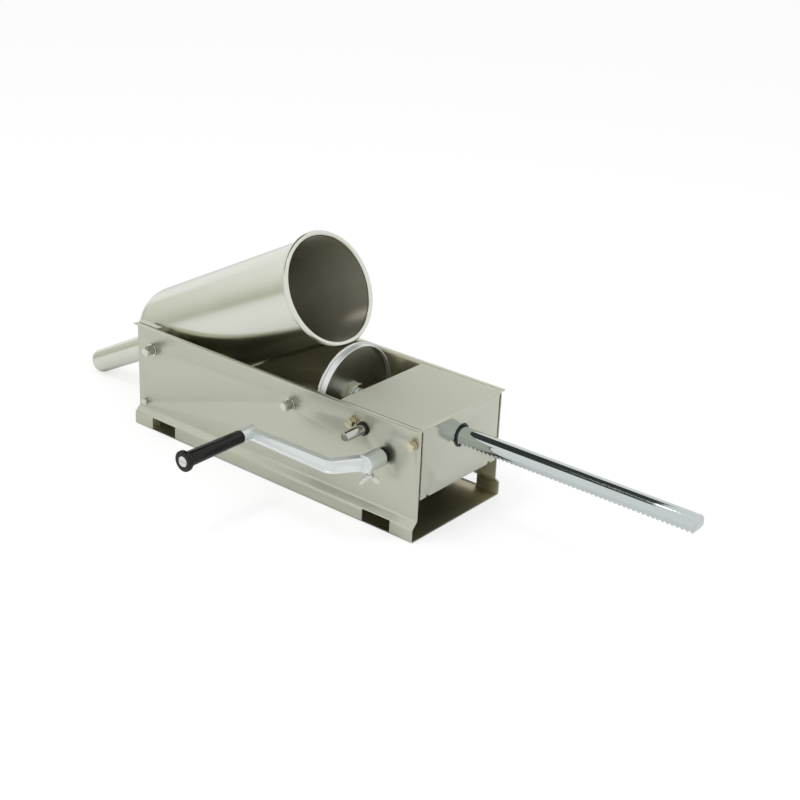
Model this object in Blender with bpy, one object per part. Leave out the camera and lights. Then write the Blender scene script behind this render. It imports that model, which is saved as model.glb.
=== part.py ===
"""Horizontal two-speed sausage stuffer, hand cranked, in its loading position.

X runs along the frame from the stuffing tube to the free end of the rack, Y runs from the crank
side to the far side, and Z is up. The origin is the middle of the base plate's underside.
"""

import math

import bmesh
import bpy
from mathutils import Matrix, Vector

# Clearances
FIT_GAP = 0.0003
CUT_OVERRUN = 0.004
WELD_DISTANCE = 0.000003

# Frame sheet
FRAME_LENGTH = 0.4964
FRAME_INNER_WIDTH = 0.160
FRAME_HEIGHT = 0.1497
SHEET = 0.0015
FLANGE_WIDTH = 0.008
SKIRT_OFFSET = 0.009
SKIRT_HEIGHT = 0.018
FLARE_TOP_HEIGHT = 0.0266
BEND_RADIUS = 0.0022
WINDOW_LENGTH = 0.045
WINDOW_FROM_END = 0.035
WINDOW_HEIGHT = 0.0165
WINDOW_SILL = 0.0022

# Centre line of cylinder, piston and rack
AXIS_BELOW_TOP = 0.0335

# Front saddle
SADDLE_DEPTH = 0.038
SADDLE_SEAT_CLEARANCE = 0.0006
SADDLE_SEAT_DROP = 0.0044
SADDLE_FLOOR_LIP = 0.020
SADDLE_LIP_INSET = 0.025

# Cylinder
CYLINDER_SIDE_ROOM = 0.0100
CYLINDER_WALL = 0.0011
RIM_BEAD_RADIUS = 0.0037
CYLINDER_OVERHANG = 0.0491
DOME_RADIUS = 0.040
NECK_RADIUS = 0.0200
NECK_BORE_RADIUS = 0.0180
NECK_LENGTH = 0.020
RIM_PISTON_GAP = 0.0175
PIVOT_FROM_FRONT = 0.0114
PIVOT_ABOVE_AXIS = 0.0266
RIM_REST_DROP = 0.00157

# Stuffing tube and its ring nut
TUBE_FLANGE_RADIUS = 0.0199
TUBE_FLANGE_THICKNESS = 0.0020
TUBE_ROOT_RADIUS = 0.0180
TUBE_TIP_RADIUS = 0.0172
TUBE_WALL = 0.0010
TUBE_LENGTH = 0.1445
NUT_OUTER_RADIUS = 0.0255
NUT_LIP = 0.0025
NUT_GRIP_LENGTH = 0.0125
NUT_EDGE = 0.0010
NUT_SCALLOP_COUNT = 10
NUT_SCALLOP_RADIUS = 0.0030
NUT_SCALLOP_DEPTH = 0.0012

# Piston
PISTON_FRONT_FROM_REAR = 0.1820
PISTON_FACE_THICKNESS = 0.0016
PISTON_FACE_CLEARANCE = 0.0007
PISTON_SEAL_CLEARANCE = 0.0004
PISTON_SEAL_THICKNESS = 0.0022
PISTON_GROOVE_DEPTH = 0.0132
PISTON_CUP_CLEARANCE = 0.0015
PISTON_CUP_DEPTH = 0.0086
PISTON_CUP_WALL = 0.0015
PISTON_NUT_WIDTH = 0.028
PISTON_NUT_THICKNESS = 0.0070
PISTON_SCREW_RADIUS = 0.0050
PISTON_SCREW_HEAD_RADIUS = 0.0080
PISTON_SCREW_HEAD_THICKNESS = 0.0028
PISTON_SCREW_LENGTH = 0.026
PISTON_SCREW_SOCKET_WIDTH = 0.0060
PISTON_SCREW_SOCKET_DEPTH = 0.0016

# Rack and gears
RACK_RADIUS = 0.0120
RACK_END_BEYOND_REAR = 0.3308
RACK_END_CHAMFER = 0.0010
TOOTH_MODULE = 0.0020
PRESSURE_ANGLE = math.radians(20.0)
RACK_CREST_DROP = 0.0090
PINION_TEETH = 10
GEAR_TEETH = 32
SHIFT_SHARE = 0.41
PINION_TIP_TRIM = 0.0003
ROOT_DEPTH_SHARE = 1.25
FLANK_PLAY = 0.00015
RACK_TEETH_LEFT = 12
RACK_TEETH_RIGHT = 62
PINION_WIDTH = 0.020
GEAR_WIDTH = 0.014
GEAR_NEAR_FACE = 0.041
GEAR_HUB_RADIUS = 0.0140
GEAR_HUB_LENGTH = 0.0090
GEAR_PIN_RADIUS = 0.0020
UPPER_PINION_EXTRA = 0.0010

# Shafts
MAIN_SHAFT_RADIUS = 0.0070
MAIN_SHAFT_FROM_REAR = 0.0556
MAIN_SHAFT_NEAR_REACH = 0.032
MAIN_SHAFT_FAR_REACH = 0.0055
UPPER_SHAFT_RADIUS = 0.0063
UPPER_SHAFT_ANGLE = math.radians(34.5)
UPPER_SHAFT_REACH = 0.0341
UPPER_SHOULDER_RADIUS = 0.0082
SHAFT_FLAT_DEPTH = 0.0015
SHAFT_FLAT_LENGTH = 0.020
SHAFT_CHAMFER = 0.0008
BUSH_WALL = 0.0018
BUSH_FLANGE_OVERHANG = 0.0012
BUSH_FLANGE_THICKNESS = 0.0016
BUSH_LENGTH = 0.0110
CIRCLIP_WIDTH = 0.0026
CIRCLIP_THICKNESS = 0.0012
CIRCLIP_SLOT = 0.0070

# Gearbox
GEARBOX_LENGTH = 0.1275
COVER_FRONT_INSET = 0.0030
COVER_FRONT_DROP = 0.0952
COVER_NOTCH_DEPTH = 0.0030
COVER_NOTCH_WIDTH = 0.0050
COVER_LIP_INSET = 0.020
COVER_LIP_DEPTH = 0.012
COVER_SIDE_DROP = 0.066
COVER_SIDE_RELIEF = 0.004
RACK_HOLE_RADIUS = 0.0155
WALL_SHEET = 0.0025
WALL_WING_DEPTH = 0.0260
WALL_TOP_GAP = 0.0040
GUIDE_FLANGE_RADIUS = 0.0205
GUIDE_FLANGE_THICKNESS = 0.0040
RACK_RUNNING_GAP = 0.0004
BRACKET_SHEET = 0.0025
BRACKET_HALF_HEIGHT = 0.0160
BRACKET_REACH = 0.0130
BRACKET_RACK_GAP = 0.0015
BRACKET_FOOT = 0.016

# Hexagon fasteners
GUIDE_SCREW_RADIUS = 0.0040
GUIDE_SCREW_TIP_RADIUS = 0.0033
GUIDE_SCREW_BELOW_TOP = 0.0329
GUIDE_SCREW_FROM_FRONT = 0.0285
GUIDE_SCREW_FROM_REAR = 0.2111
GUIDE_SCREW_INSIDE = 0.0075
GUIDE_SCREW_THREAD_INSIDE = 0.0035
GUIDE_HEX_WIDTH = 0.013
GUIDE_HEAD_THICKNESS = 0.0053
GUIDE_NUT_THICKNESS = 0.0062
GUIDE_WASHER_RADIUS = 0.0082
GUIDE_WASHER_THICKNESS = 0.0016
COVER_BOLT_RADIUS = 0.0030
COVER_BOLT_BELOW_TOP = 0.0229
COVER_BOLT_WALL_INSET = 0.1064
COVER_BOLT_FRONT_INSET = 0.0108
COVER_HEX_WIDTH = 0.010
COVER_HEAD_THICKNESS = 0.0042
COVER_WASHER_RADIUS = 0.0062
COVER_WASHER_THICKNESS = 0.0012
COVER_NUT_THICKNESS = 0.0048
COVER_BOLT_TAIL = 0.0015
SADDLE_BOLT_RADIUS = 0.0025
SADDLE_BOLT_FROM_FRONT = 0.0116
SADDLE_BOLT_HEIGHT = 0.0343
SADDLE_HEX_WIDTH = 0.008
SADDLE_HEAD_THICKNESS = 0.0035
SADDLE_NUT_THICKNESS = 0.0040
SADDLE_BOLT_TAIL = 0.0015

# Crank
HUB_RADIUS = 0.0118
HUB_LENGTH = 0.031
HUB_STANDOFF = 0.0065
HUB_FRONT_WALL = 0.004
HUB_CHAMFER = 0.0012
ARM_RADIUS = 0.1608
ARM_START_DEPTH = 0.011
ARM_OFFSET = 0.031
ARM_STEP_RUN = 0.0268
ARM_BEND_RADIUS = 0.012
ARM_THICKNESS = 0.0090
ARM_ROOT_HEIGHT = 0.0180
ARM_TIP_HEIGHT = 0.0135
ARM_RIM_WIDTH = 0.0022
ARM_RECESS = 0.0014
ARM_BOSS_RADIUS = 0.0088
ARM_BOSS_BACK = 0.0070
ARM_BOSS_FRONT = 0.0160
BOSS_CHAMFER = 0.0010
WING_SCREW_DEPTH = 0.0120
WING_STEM_RADIUS = 0.0030
WING_COLLAR_RADIUS = 0.0050
WING_COLLAR_LENGTH = 0.0050
WING_EXPOSED_STEM = 0.0045
WING_REACH = 0.0070
WING_LENGTH = 0.0150
WING_BREADTH = 0.0062
WING_DROP = 0.0060
WING_THICKNESS = 0.0024
WING_SPLAY = math.radians(42.0)
WING_TURN = math.radians(50.0)

# Grip
SPINDLE_RADIUS = 0.0040
SPINDLE_HEAD_RADIUS = 0.0068
SPINDLE_HEAD_THICKNESS = 0.0025
SPINDLE_HEAD_STANDOUT = 0.0006
SPINDLE_SLOT_WIDTH = 0.0014
SPINDLE_SLOT_DEPTH = 0.0009
SPINDLE_RIVET_RADIUS = 0.0062
SPINDLE_RIVET_THICKNESS = 0.0018
GRIP_LENGTH = 0.0965
GRIP_INNER_RADIUS = 0.0087
GRIP_BODY_RADIUS = 0.0097
GRIP_NECK_RADIUS = 0.0090
GRIP_NECK_LENGTH = 0.0040
GRIP_FLANGE_RADIUS = 0.0135
GRIP_FLANGE_THICKNESS = 0.0060
GRIP_EDGE = 0.0015

# Facet counts
ROUND_LARGE = 40
ROUND_PISTON = 32
ROUND_WIDE = 24
ROUND_MEDIUM = 16
ROUND_RACK = 14
ROUND_SMALL = 8
SEAT_STEPS = 20
HEX_SIDES = 6
DOME_STEPS = 5
BEAD_STEPS = 8
BEND_STEPS = 2
ARM_BEND_STEPS = 4
FLANK_STEPS = 2
SMOOTH_LIMIT = math.radians(32.0)

# Places worked out from the sizes above
AXIS_HEIGHT = FRAME_HEIGHT - AXIS_BELOW_TOP
GUIDE_SCREW_HEIGHT = FRAME_HEIGHT - GUIDE_SCREW_BELOW_TOP
COVER_BOLT_HEIGHT = FRAME_HEIGHT - COVER_BOLT_BELOW_TOP
COVER_FRONT_BOTTOM = FRAME_HEIGHT - COVER_FRONT_DROP
PANEL_INNER = FRAME_INNER_WIDTH / 2
PANEL_OUTER = PANEL_INNER + SHEET
OUTSIDE = PANEL_OUTER + FIT_GAP
COVER_HALF = PANEL_INNER - FIT_GAP
COVER_LIP_HALF = PANEL_INNER - COVER_LIP_INSET
SADDLE_LIP_HALF = PANEL_INNER - SADDLE_LIP_INSET
CYLINDER_RADIUS = PANEL_INNER - CYLINDER_SIDE_ROOM
BORE_RADIUS = CYLINDER_RADIUS - CYLINDER_WALL
SADDLE_SEAT_RADIUS = CYLINDER_RADIUS + SADDLE_SEAT_CLEARANCE
PISTON_FACE_RADIUS = BORE_RADIUS - PISTON_FACE_CLEARANCE
PISTON_SEAL_RADIUS = BORE_RADIUS - PISTON_SEAL_CLEARANCE
PISTON_HUB_RADIUS = BORE_RADIUS - PISTON_GROOVE_DEPTH
PISTON_CUP_RADIUS = BORE_RADIUS - PISTON_CUP_CLEARANCE
PITCH_LINE_HEIGHT = AXIS_HEIGHT - RACK_CREST_DROP + TOOTH_MODULE
PINION_PITCH_RADIUS = TOOTH_MODULE * PINION_TEETH / 2
GEAR_PITCH_RADIUS = TOOTH_MODULE * GEAR_TEETH / 2
GEAR_SPACING = PINION_PITCH_RADIUS + GEAR_PITCH_RADIUS
MAIN_SHAFT_HEIGHT = PITCH_LINE_HEIGHT - PINION_PITCH_RADIUS - SHIFT_SHARE * TOOTH_MODULE
UPPER_SHAFT_HEIGHT = MAIN_SHAFT_HEIGHT + GEAR_SPACING * math.sin(UPPER_SHAFT_ANGLE)
FRONT_X = -FRAME_LENGTH / 2
REAR_X = FRAME_LENGTH / 2
MAIN_SHAFT_X = REAR_X - MAIN_SHAFT_FROM_REAR
UPPER_SHAFT_X = MAIN_SHAFT_X - GEAR_SPACING * math.cos(UPPER_SHAFT_ANGLE)
PISTON_X = REAR_X - PISTON_FRONT_FROM_REAR
RACK_END_X = REAR_X + RACK_END_BEYOND_REAR
FRONT_GUIDE_X = FRONT_X + GUIDE_SCREW_FROM_FRONT
REAR_GUIDE_X = REAR_X - GUIDE_SCREW_FROM_REAR
WALL_BOLT_X = REAR_X - COVER_BOLT_WALL_INSET
FRONT_BOLT_X = REAR_X - COVER_BOLT_FRONT_INSET
SADDLE_BOLT_X = FRONT_X + SADDLE_BOLT_FROM_FRONT
WALL_X = REAR_X - GEARBOX_LENGTH
PIVOT_X = FRONT_X + PIVOT_FROM_FRONT
PIVOT_HEIGHT = AXIS_HEIGHT + PIVOT_ABOVE_AXIS
RIM_REACH = PISTON_X - RIM_PISTON_GAP - PIVOT_X
RIM_DEPTH = PIVOT_ABOVE_AXIS + BORE_RADIUS + 2 * RIM_BEAD_RADIUS
RIM_REST_HEIGHT = AXIS_HEIGHT + PISTON_FACE_RADIUS - RIM_REST_DROP
LOADING_TILT = (math.atan(RIM_DEPTH / RIM_REACH)
                + math.asin((RIM_REST_HEIGHT - PIVOT_HEIGHT) / math.hypot(RIM_REACH, RIM_DEPTH)))
CYLINDER_LENGTH = RIM_REACH + PIVOT_FROM_FRONT + CYLINDER_OVERHANG
BRACKET_NEAR_Y = -(RACK_RADIUS + BRACKET_RACK_GAP + BRACKET_SHEET)
HUB_BACK_Y = -(PANEL_OUTER + HUB_STANDOFF)
HUB_FRONT_Y = HUB_BACK_Y - HUB_LENGTH
ARM_Y = HUB_FRONT_Y - ARM_OFFSET
GRIP_INNER_Y = ARM_Y - ARM_BOSS_FRONT - FIT_GAP
WING_Y = HUB_FRONT_Y + WING_SCREW_DEPTH

# Colour, roughness and metallic of each material
MATERIALS = {
    "frame_steel": ((0.47, 0.47, 0.40), 0.38, 1.0),
    "polished_steel": ((0.62, 0.61, 0.55), 0.16, 1.0),
    "chrome": ((0.72, 0.74, 0.76), 0.10, 1.0),
    "zinc_steel": ((0.60, 0.57, 0.48), 0.30, 1.0),
    "gear_steel": ((0.30, 0.30, 0.29), 0.42, 1.0),
    "cast_aluminium": ((0.80, 0.82, 0.83), 0.45, 1.0),
    "bronze": ((0.45, 0.30, 0.13), 0.35, 1.0),
    "black_nylon": ((0.02, 0.02, 0.02), 0.50, 0.0),
    "seal_rubber": ((0.55, 0.56, 0.55), 0.55, 0.0),
    "black_plastic": ((0.012, 0.012, 0.012), 0.18, 0.0),
}


def clear_scene():
    """Remove every object that the file opened with."""
    for item in list(bpy.data.objects):
        bpy.data.objects.remove(item, do_unlink=True)


def material(name):
    """Principled material from the table, made once."""
    found = bpy.data.materials.get(name)
    if found:
        return found
    colour, roughness, metallic = MATERIALS[name]
    made = bpy.data.materials.new(name)
    made.use_nodes = True
    shader = made.node_tree.nodes["Principled BSDF"]
    shader.inputs["Base Color"].default_value = (*colour, 1.0)
    shader.inputs["Roughness"].default_value = roughness
    shader.inputs["Metallic"].default_value = metallic
    return made


def finish(name, mesh_edit, finish_name, parent=None):
    """Turn a bmesh into a named, shaded object."""
    bmesh.ops.remove_doubles(mesh_edit, verts=mesh_edit.verts, dist=WELD_DISTANCE)
    bmesh.ops.recalc_face_normals(mesh_edit, faces=mesh_edit.faces)
    mesh = bpy.data.meshes.new(name)
    mesh_edit.to_mesh(mesh)
    mesh_edit.free()
    mesh.materials.append(material(finish_name))
    mesh.shade_smooth()
    mesh.set_sharp_from_angle(angle=SMOOTH_LIMIT)
    item = bpy.data.objects.new(name, mesh)
    bpy.context.collection.objects.link(item)
    item.parent = parent
    return item


def pivot(name, place, turn=(0, 0, 0), parent=None):
    """Empty on a joint axis, or on a screw's axis, that carries pieces."""
    item = bpy.data.objects.new(name, None)
    bpy.context.collection.objects.link(item)
    item.parent = parent
    item.location = place
    item.rotation_euler = turn
    return item


def cutter(name, mesh_edit, parent=None):
    """Hidden tool body for a Boolean."""
    item = finish(name, mesh_edit, "gear_steel", parent)
    item.hide_render = True
    item.display_type = "WIRE"
    return item


def combine(item, tool, operation="DIFFERENCE"):
    """Boolean between an object and a tool body."""
    change = item.modifiers.new(tool.name, "BOOLEAN")
    change.operation = operation
    change.solver = "EXACT"
    change.object = tool


def add_box(mesh_edit, first, second):
    """Closed box between two opposite corners."""
    size = [abs(b - a) for a, b in zip(first, second)]
    middle = [(a + b) / 2 for a, b in zip(first, second)]
    placed = Matrix.Translation(middle) @ Matrix.Diagonal((*size, 1.0))
    bmesh.ops.create_cube(mesh_edit, size=1.0, matrix=placed)


def add_rod(mesh_edit, axis, start, end, radius, centre, sides):
    """Closed rod along x, y or z; centre holds the two other coordinates."""
    middle = (start + end) / 2
    quarter = math.pi / 2
    place, turn = {
        "x": ((middle, centre[0], centre[1]), Matrix.Rotation(quarter, 4, "Y")),
        "y": ((centre[0], middle, centre[1]), Matrix.Rotation(quarter, 4, "X")),
        "z": ((centre[0], centre[1], middle), Matrix.Identity(4)),
    }[axis]
    bmesh.ops.create_cone(mesh_edit, cap_ends=True, segments=sides, radius1=radius,
                          radius2=radius, depth=abs(end - start),
                          matrix=Matrix.Translation(place) @ turn)


def hole_radius(radius, sides=ROUND_SMALL):
    """Radius of a faceted hole whose flats clear a round of the given radius."""
    return (radius + FIT_GAP) / math.cos(math.pi / sides)


def lathe(mesh_edit, outline, sides, axis=(1, 0, 0), centre=(0, 0, 0)):
    """Full turn of a closed outline of (along, radius) points about an axis."""
    axis = Vector(axis)
    across = Vector((1, 0, 0)) if abs(axis.z) > abs(axis.x) + abs(axis.y) else Vector((0, 0, 1))
    middle = Vector(centre)
    verts = [mesh_edit.verts.new(middle + axis * s + across * r) for s, r in outline]
    edges = [mesh_edit.edges.new((a, b)) for a, b in zip(verts, verts[1:])]
    if outline[0][1] > 0:
        edges.append(mesh_edit.edges.new((verts[-1], verts[0])))
    bmesh.ops.spin(mesh_edit, geom=verts + edges, cent=middle, axis=axis, angle=2 * math.pi,
                   steps=sides, use_merge=True, use_duplicate=False)


def arc(centre_along, centre_radius, radius, start, end, steps):
    """Points of an arc in a lathe outline, with angles from the along direction."""
    points = []
    for i in range(steps + 1):
        angle = start + (end - start) * i / steps
        points.append((centre_along + radius * math.cos(angle),
                       centre_radius + radius * math.sin(angle)))
    return points


def rounded_path(points, radius, steps):
    """Polyline with its inner corners replaced by arcs."""
    path = [Vector(points[0])]
    for before, corner, after in zip(points, points[1:], points[2:]):
        corner = Vector(corner)
        back = (Vector(before) - corner).normalized()
        ahead = (Vector(after) - corner).normalized()
        half = back.angle(ahead) / 2
        reach = radius / math.tan(half)
        middle = corner + (back + ahead).normalized() * radius / math.sin(half)
        first = corner + back * reach - middle
        second = corner + ahead * reach - middle
        start = math.atan2(first.y, first.x)
        sweep = math.remainder(math.atan2(second.y, second.x) - start, 2 * math.pi)
        for i in range(steps + 1):
            angle = start + sweep * i / steps
            path.append(middle + Vector((radius * math.cos(angle), radius * math.sin(angle))))
    path.append(Vector(points[-1]))
    return path


def in_xz(p, depth):
    """Point of an outline drawn in the XZ plane, at a depth along Y."""
    return (p[0], depth, p[1])


def in_yz(p, depth):
    """Point of an outline drawn in the YZ plane, at a depth along X."""
    return (depth, p[0], p[1])


def in_xy(p, depth):
    """Point of an outline drawn in the XY plane, at a depth along Z."""
    return (p[0], p[1], depth)


def sheet(name, path, start, end, place, thickness):
    """Bent sheet: a middle-surface path pulled from start to end, then thickened evenly."""
    mesh_edit = bmesh.new()
    first = [mesh_edit.verts.new(place(p, start)) for p in path]
    second = [mesh_edit.verts.new(place(p, end)) for p in path]
    for i in range(len(path) - 1):
        mesh_edit.faces.new((first[i], first[i + 1], second[i + 1], second[i]))
    item = finish(name, mesh_edit, "frame_steel")
    thicken = item.modifiers.new("thickness", "SOLIDIFY")
    thicken.thickness = thickness
    thicken.offset = 0.0
    thicken.use_even_offset = True
    return item


def add_plate(mesh_edit, outline, start, end, place):
    """Solid plate: a closed outline pulled from start to end."""
    first = [mesh_edit.verts.new(place(p, start)) for p in outline]
    second = [mesh_edit.verts.new(place(p, end)) for p in outline]
    mesh_edit.faces.new(first)
    mesh_edit.faces.new(list(reversed(second)))
    for i in range(len(outline)):
        after = (i + 1) % len(outline)
        mesh_edit.faces.new((first[i], second[i], second[after], first[after]))


def gearbox_side_holes(side_sign):
    """Holes shared by a side panel and the gearbox cover's side: x, z and radius."""
    bush = MAIN_SHAFT_RADIUS + BUSH_WALL
    holes = [
        (WALL_BOLT_X, COVER_BOLT_HEIGHT, COVER_BOLT_RADIUS),
        (FRONT_BOLT_X, COVER_BOLT_HEIGHT, COVER_BOLT_RADIUS),
        (MAIN_SHAFT_X, MAIN_SHAFT_HEIGHT, bush),
    ]
    if side_sign < 0:
        holes.append((UPPER_SHAFT_X, UPPER_SHAFT_HEIGHT, UPPER_SHAFT_RADIUS + BUSH_WALL))
    return holes


def saddle_side_holes():
    """Holes shared by a side panel and the saddle's wing: x, z and radius."""
    return [
        (FRONT_GUIDE_X, GUIDE_SCREW_HEIGHT, GUIDE_SCREW_RADIUS),
        (SADDLE_BOLT_X, SADDLE_BOLT_HEIGHT, SADDLE_BOLT_RADIUS),
    ]


def add_side_holes(mesh_edit, holes, side_sign, inside, outside):
    """Cutting rods along Y through one side."""
    for x, z, radius in holes:
        sides = ROUND_SMALL if radius < MAIN_SHAFT_RADIUS else ROUND_MEDIUM
        add_rod(mesh_edit, "y", side_sign * inside, side_sign * outside,
                hole_radius(radius, sides), (x, z), sides)


def frame_body():
    """One bent sheet: base, joggled skirts, side panels and outward top flanges."""
    middle = SHEET / 2
    side = PANEL_INNER + middle
    foot = side + SKIRT_OFFSET
    half = [
        (foot, middle),
        (foot, SKIRT_HEIGHT),
        (side, FLARE_TOP_HEIGHT),
        (side, FRAME_HEIGHT - middle),
        (side + FLANGE_WIDTH, FRAME_HEIGHT - middle),
    ]
    points = [(-y, z) for y, z in reversed(half)] + half
    path = rounded_path(points, BEND_RADIUS, BEND_STEPS)
    body = sheet("frame_body", path, FRONT_X, REAR_X, in_yz, SHEET)

    tools = bmesh.new()
    outer = PANEL_OUTER + SKIRT_OFFSET + CUT_OVERRUN
    rear_guide = (REAR_GUIDE_X, GUIDE_SCREW_HEIGHT, GUIDE_SCREW_RADIUS)
    for side_sign in (-1, 1):
        for start in (WINDOW_FROM_END, FRAME_LENGTH - WINDOW_FROM_END - WINDOW_LENGTH):
            add_box(tools, (FRONT_X + start, side_sign * PANEL_OUTER, WINDOW_SILL),
                    (FRONT_X + start + WINDOW_LENGTH, side_sign * outer,
                     WINDOW_SILL + WINDOW_HEIGHT))
        holes = saddle_side_holes() + gearbox_side_holes(side_sign) + [rear_guide]
        add_side_holes(tools, holes, side_sign, PANEL_INNER - CUT_OVERRUN,
                       PANEL_OUTER + CUT_OVERRUN)
    combine(body, cutter("frame_cutter", tools))


def front_saddle():
    """Front plate with the deep round seat, its side wings and top tabs, from one sheet."""
    half = COVER_HALF - SHEET / 2
    bottom = SHEET + FIT_GAP
    points = [
        (FRONT_X + SADDLE_DEPTH, -half),
        (FRONT_X + SHEET / 2, -half),
        (FRONT_X + SHEET / 2, half),
        (FRONT_X + SADDLE_DEPTH, half),
    ]
    path = rounded_path(points, BEND_RADIUS, BEND_STEPS)
    body = sheet("front_saddle", path, bottom, FRAME_HEIGHT - SHEET / 2, in_xy, SHEET)

    tabs = bmesh.new()
    for side_sign in (-1, 1):
        add_box(tabs, (FRONT_X, side_sign * SADDLE_SEAT_RADIUS, FRAME_HEIGHT - SHEET),
                (FRONT_X + SADDLE_DEPTH, side_sign * COVER_HALF, FRAME_HEIGHT))
    add_box(tabs, (FRONT_X + SHEET / 2, -SADDLE_LIP_HALF, bottom),
            (FRONT_X + SADDLE_FLOOR_LIP, SADDLE_LIP_HALF, bottom + SHEET))
    combine(body, cutter("saddle_tabs", tabs), "UNION")

    start = FRONT_X - CUT_OVERRUN
    end = FRONT_X + SADDLE_DEPTH + CUT_OVERRUN
    centre_height = AXIS_HEIGHT - SADDLE_SEAT_DROP
    arch = arc(0, centre_height, SADDLE_SEAT_RADIUS, -math.pi, 0, SEAT_STEPS)
    rim = FRAME_HEIGHT + CUT_OVERRUN
    outline = [(-SADDLE_SEAT_RADIUS, rim)] + arch + [(SADDLE_SEAT_RADIUS, rim)]
    seat = bmesh.new()
    add_plate(seat, outline, start, end, in_yz)
    combine(body, cutter("saddle_seat_cutter", seat))

    tools = bmesh.new()
    for side_sign in (-1, 1):
        add_side_holes(tools, saddle_side_holes(), side_sign, PANEL_INNER - CUT_OVERRUN,
                       PANEL_INNER + CUT_OVERRUN)
    combine(body, cutter("saddle_hole_cutter", tools))


def side_carriers(name, places):
    """One empty for each place on each side panel, with its local +Y pointing outwards."""
    carriers = []
    for label, x, z in places:
        for side, turn in (("near", math.pi), ("far", 0.0)):
            suffix = "_" + side + label
            carriers.append((suffix, pivot(name + suffix + "_place", (x, 0, z), (0, 0, turn))))
    return carriers


def washer(name, carrier, start, thickness, radius, outer):
    """Flat washer along local Y."""
    inner = hole_radius(radius)
    end = start + thickness
    body = bmesh.new()
    lathe(body, [(start, inner), (start, outer), (end, outer), (end, inner)], ROUND_SMALL,
          axis=(0, 1, 0))
    finish(name, body, "zinc_steel", carrier)


def hex_nut(name, carrier, start, thickness, radius, width):
    """Hexagon nut along local Y."""
    end = start + thickness
    body = bmesh.new()
    add_rod(body, "y", start, end, width / math.sqrt(3), (0, 0), HEX_SIDES)
    nut = finish(name, body, "zinc_steel", carrier)
    bore = bmesh.new()
    add_rod(bore, "y", start - CUT_OVERRUN, end + CUT_OVERRUN, hole_radius(radius), (0, 0),
            ROUND_SMALL)
    combine(nut, cutter(name + "_bore", bore, carrier))


def hex_screw(name, carrier, head_start, head_thickness, width, shank):
    """Headed screw along local Y; shank is its outline from the tip outwards."""
    head_end = head_start + head_thickness
    inside_head = (head_start + head_end) / 2
    body = bmesh.new()
    add_rod(body, "y", head_start, head_end, width / math.sqrt(3), (0, 0), HEX_SIDES)
    screw = finish(name, body, "zinc_steel", carrier)
    outline = [(shank[0][0], 0)] + shank + [(inside_head, shank[-1][1]), (inside_head, 0)]
    stem = bmesh.new()
    lathe(stem, outline, ROUND_SMALL, axis=(0, 1, 0))
    combine(screw, cutter(name + "_shank", stem, carrier), "UNION")


def guide_screws():
    """Four set screws that centre the cylinder, each with a lock nut and a washer."""
    places = [
        ("_front", FRONT_GUIDE_X, GUIDE_SCREW_HEIGHT),
        ("_rear", REAR_GUIDE_X, GUIDE_SCREW_HEIGHT),
    ]
    nut_start = OUTSIDE + GUIDE_WASHER_THICKNESS + FIT_GAP
    head_start = nut_start + GUIDE_NUT_THICKNESS + FIT_GAP
    step = PANEL_INNER - GUIDE_SCREW_THREAD_INSIDE
    shank = [
        (PANEL_INNER - GUIDE_SCREW_INSIDE, GUIDE_SCREW_TIP_RADIUS),
        (step, GUIDE_SCREW_TIP_RADIUS),
        (step, GUIDE_SCREW_RADIUS),
    ]
    for suffix, carrier in side_carriers("guide_screw", places):
        washer("guide_washer" + suffix, carrier, OUTSIDE, GUIDE_WASHER_THICKNESS,
               GUIDE_SCREW_RADIUS, GUIDE_WASHER_RADIUS)
        hex_nut("guide_lock_nut" + suffix, carrier, nut_start, GUIDE_NUT_THICKNESS,
                GUIDE_SCREW_RADIUS, GUIDE_HEX_WIDTH)
        hex_screw("guide_screw" + suffix, carrier, head_start, GUIDE_HEAD_THICKNESS,
                  GUIDE_HEX_WIDTH, shank)


def cover_bolts():
    """Two pairs of bolts through panel and cover; the rear pair also holds the rear wall."""
    head_start = OUTSIDE + COVER_WASHER_THICKNESS + FIT_GAP
    front_nut = COVER_HALF - SHEET - FIT_GAP - COVER_NUT_THICKNESS
    wall_nut = front_nut - WALL_SHEET - FIT_GAP
    for label, x, nut in (("_wall", WALL_BOLT_X, wall_nut),
                          ("_front", FRONT_BOLT_X, front_nut)):
        place = [(label, x, COVER_BOLT_HEIGHT)]
        shank = [(nut - COVER_BOLT_TAIL, COVER_BOLT_RADIUS)]
        for suffix, carrier in side_carriers("cover_bolt", place):
            washer("cover_washer" + suffix, carrier, OUTSIDE, COVER_WASHER_THICKNESS,
                   COVER_BOLT_RADIUS, COVER_WASHER_RADIUS)
            hex_nut("cover_nut" + suffix, carrier, nut, COVER_NUT_THICKNESS, COVER_BOLT_RADIUS,
                    COVER_HEX_WIDTH)
            hex_screw("cover_bolt" + suffix, carrier, head_start, COVER_HEAD_THICKNESS,
                      COVER_HEX_WIDTH, shank)


def saddle_bolts():
    """Two small bolts that hold the saddle's wings low on the panels, with their nuts."""
    place = [("", SADDLE_BOLT_X, SADDLE_BOLT_HEIGHT)]
    nut = COVER_HALF - SHEET - FIT_GAP - SADDLE_NUT_THICKNESS
    shank = [(nut - SADDLE_BOLT_TAIL, SADDLE_BOLT_RADIUS)]
    for suffix, carrier in side_carriers("saddle_bolt", place):
        hex_screw("saddle_bolt" + suffix, carrier, OUTSIDE, SADDLE_HEAD_THICKNESS,
                  SADDLE_HEX_WIDTH, shank)
        hex_nut("saddle_nut" + suffix, carrier, nut, SADDLE_NUT_THICKNESS, SADDLE_BOLT_RADIUS,
                SADDLE_HEX_WIDTH)


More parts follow.
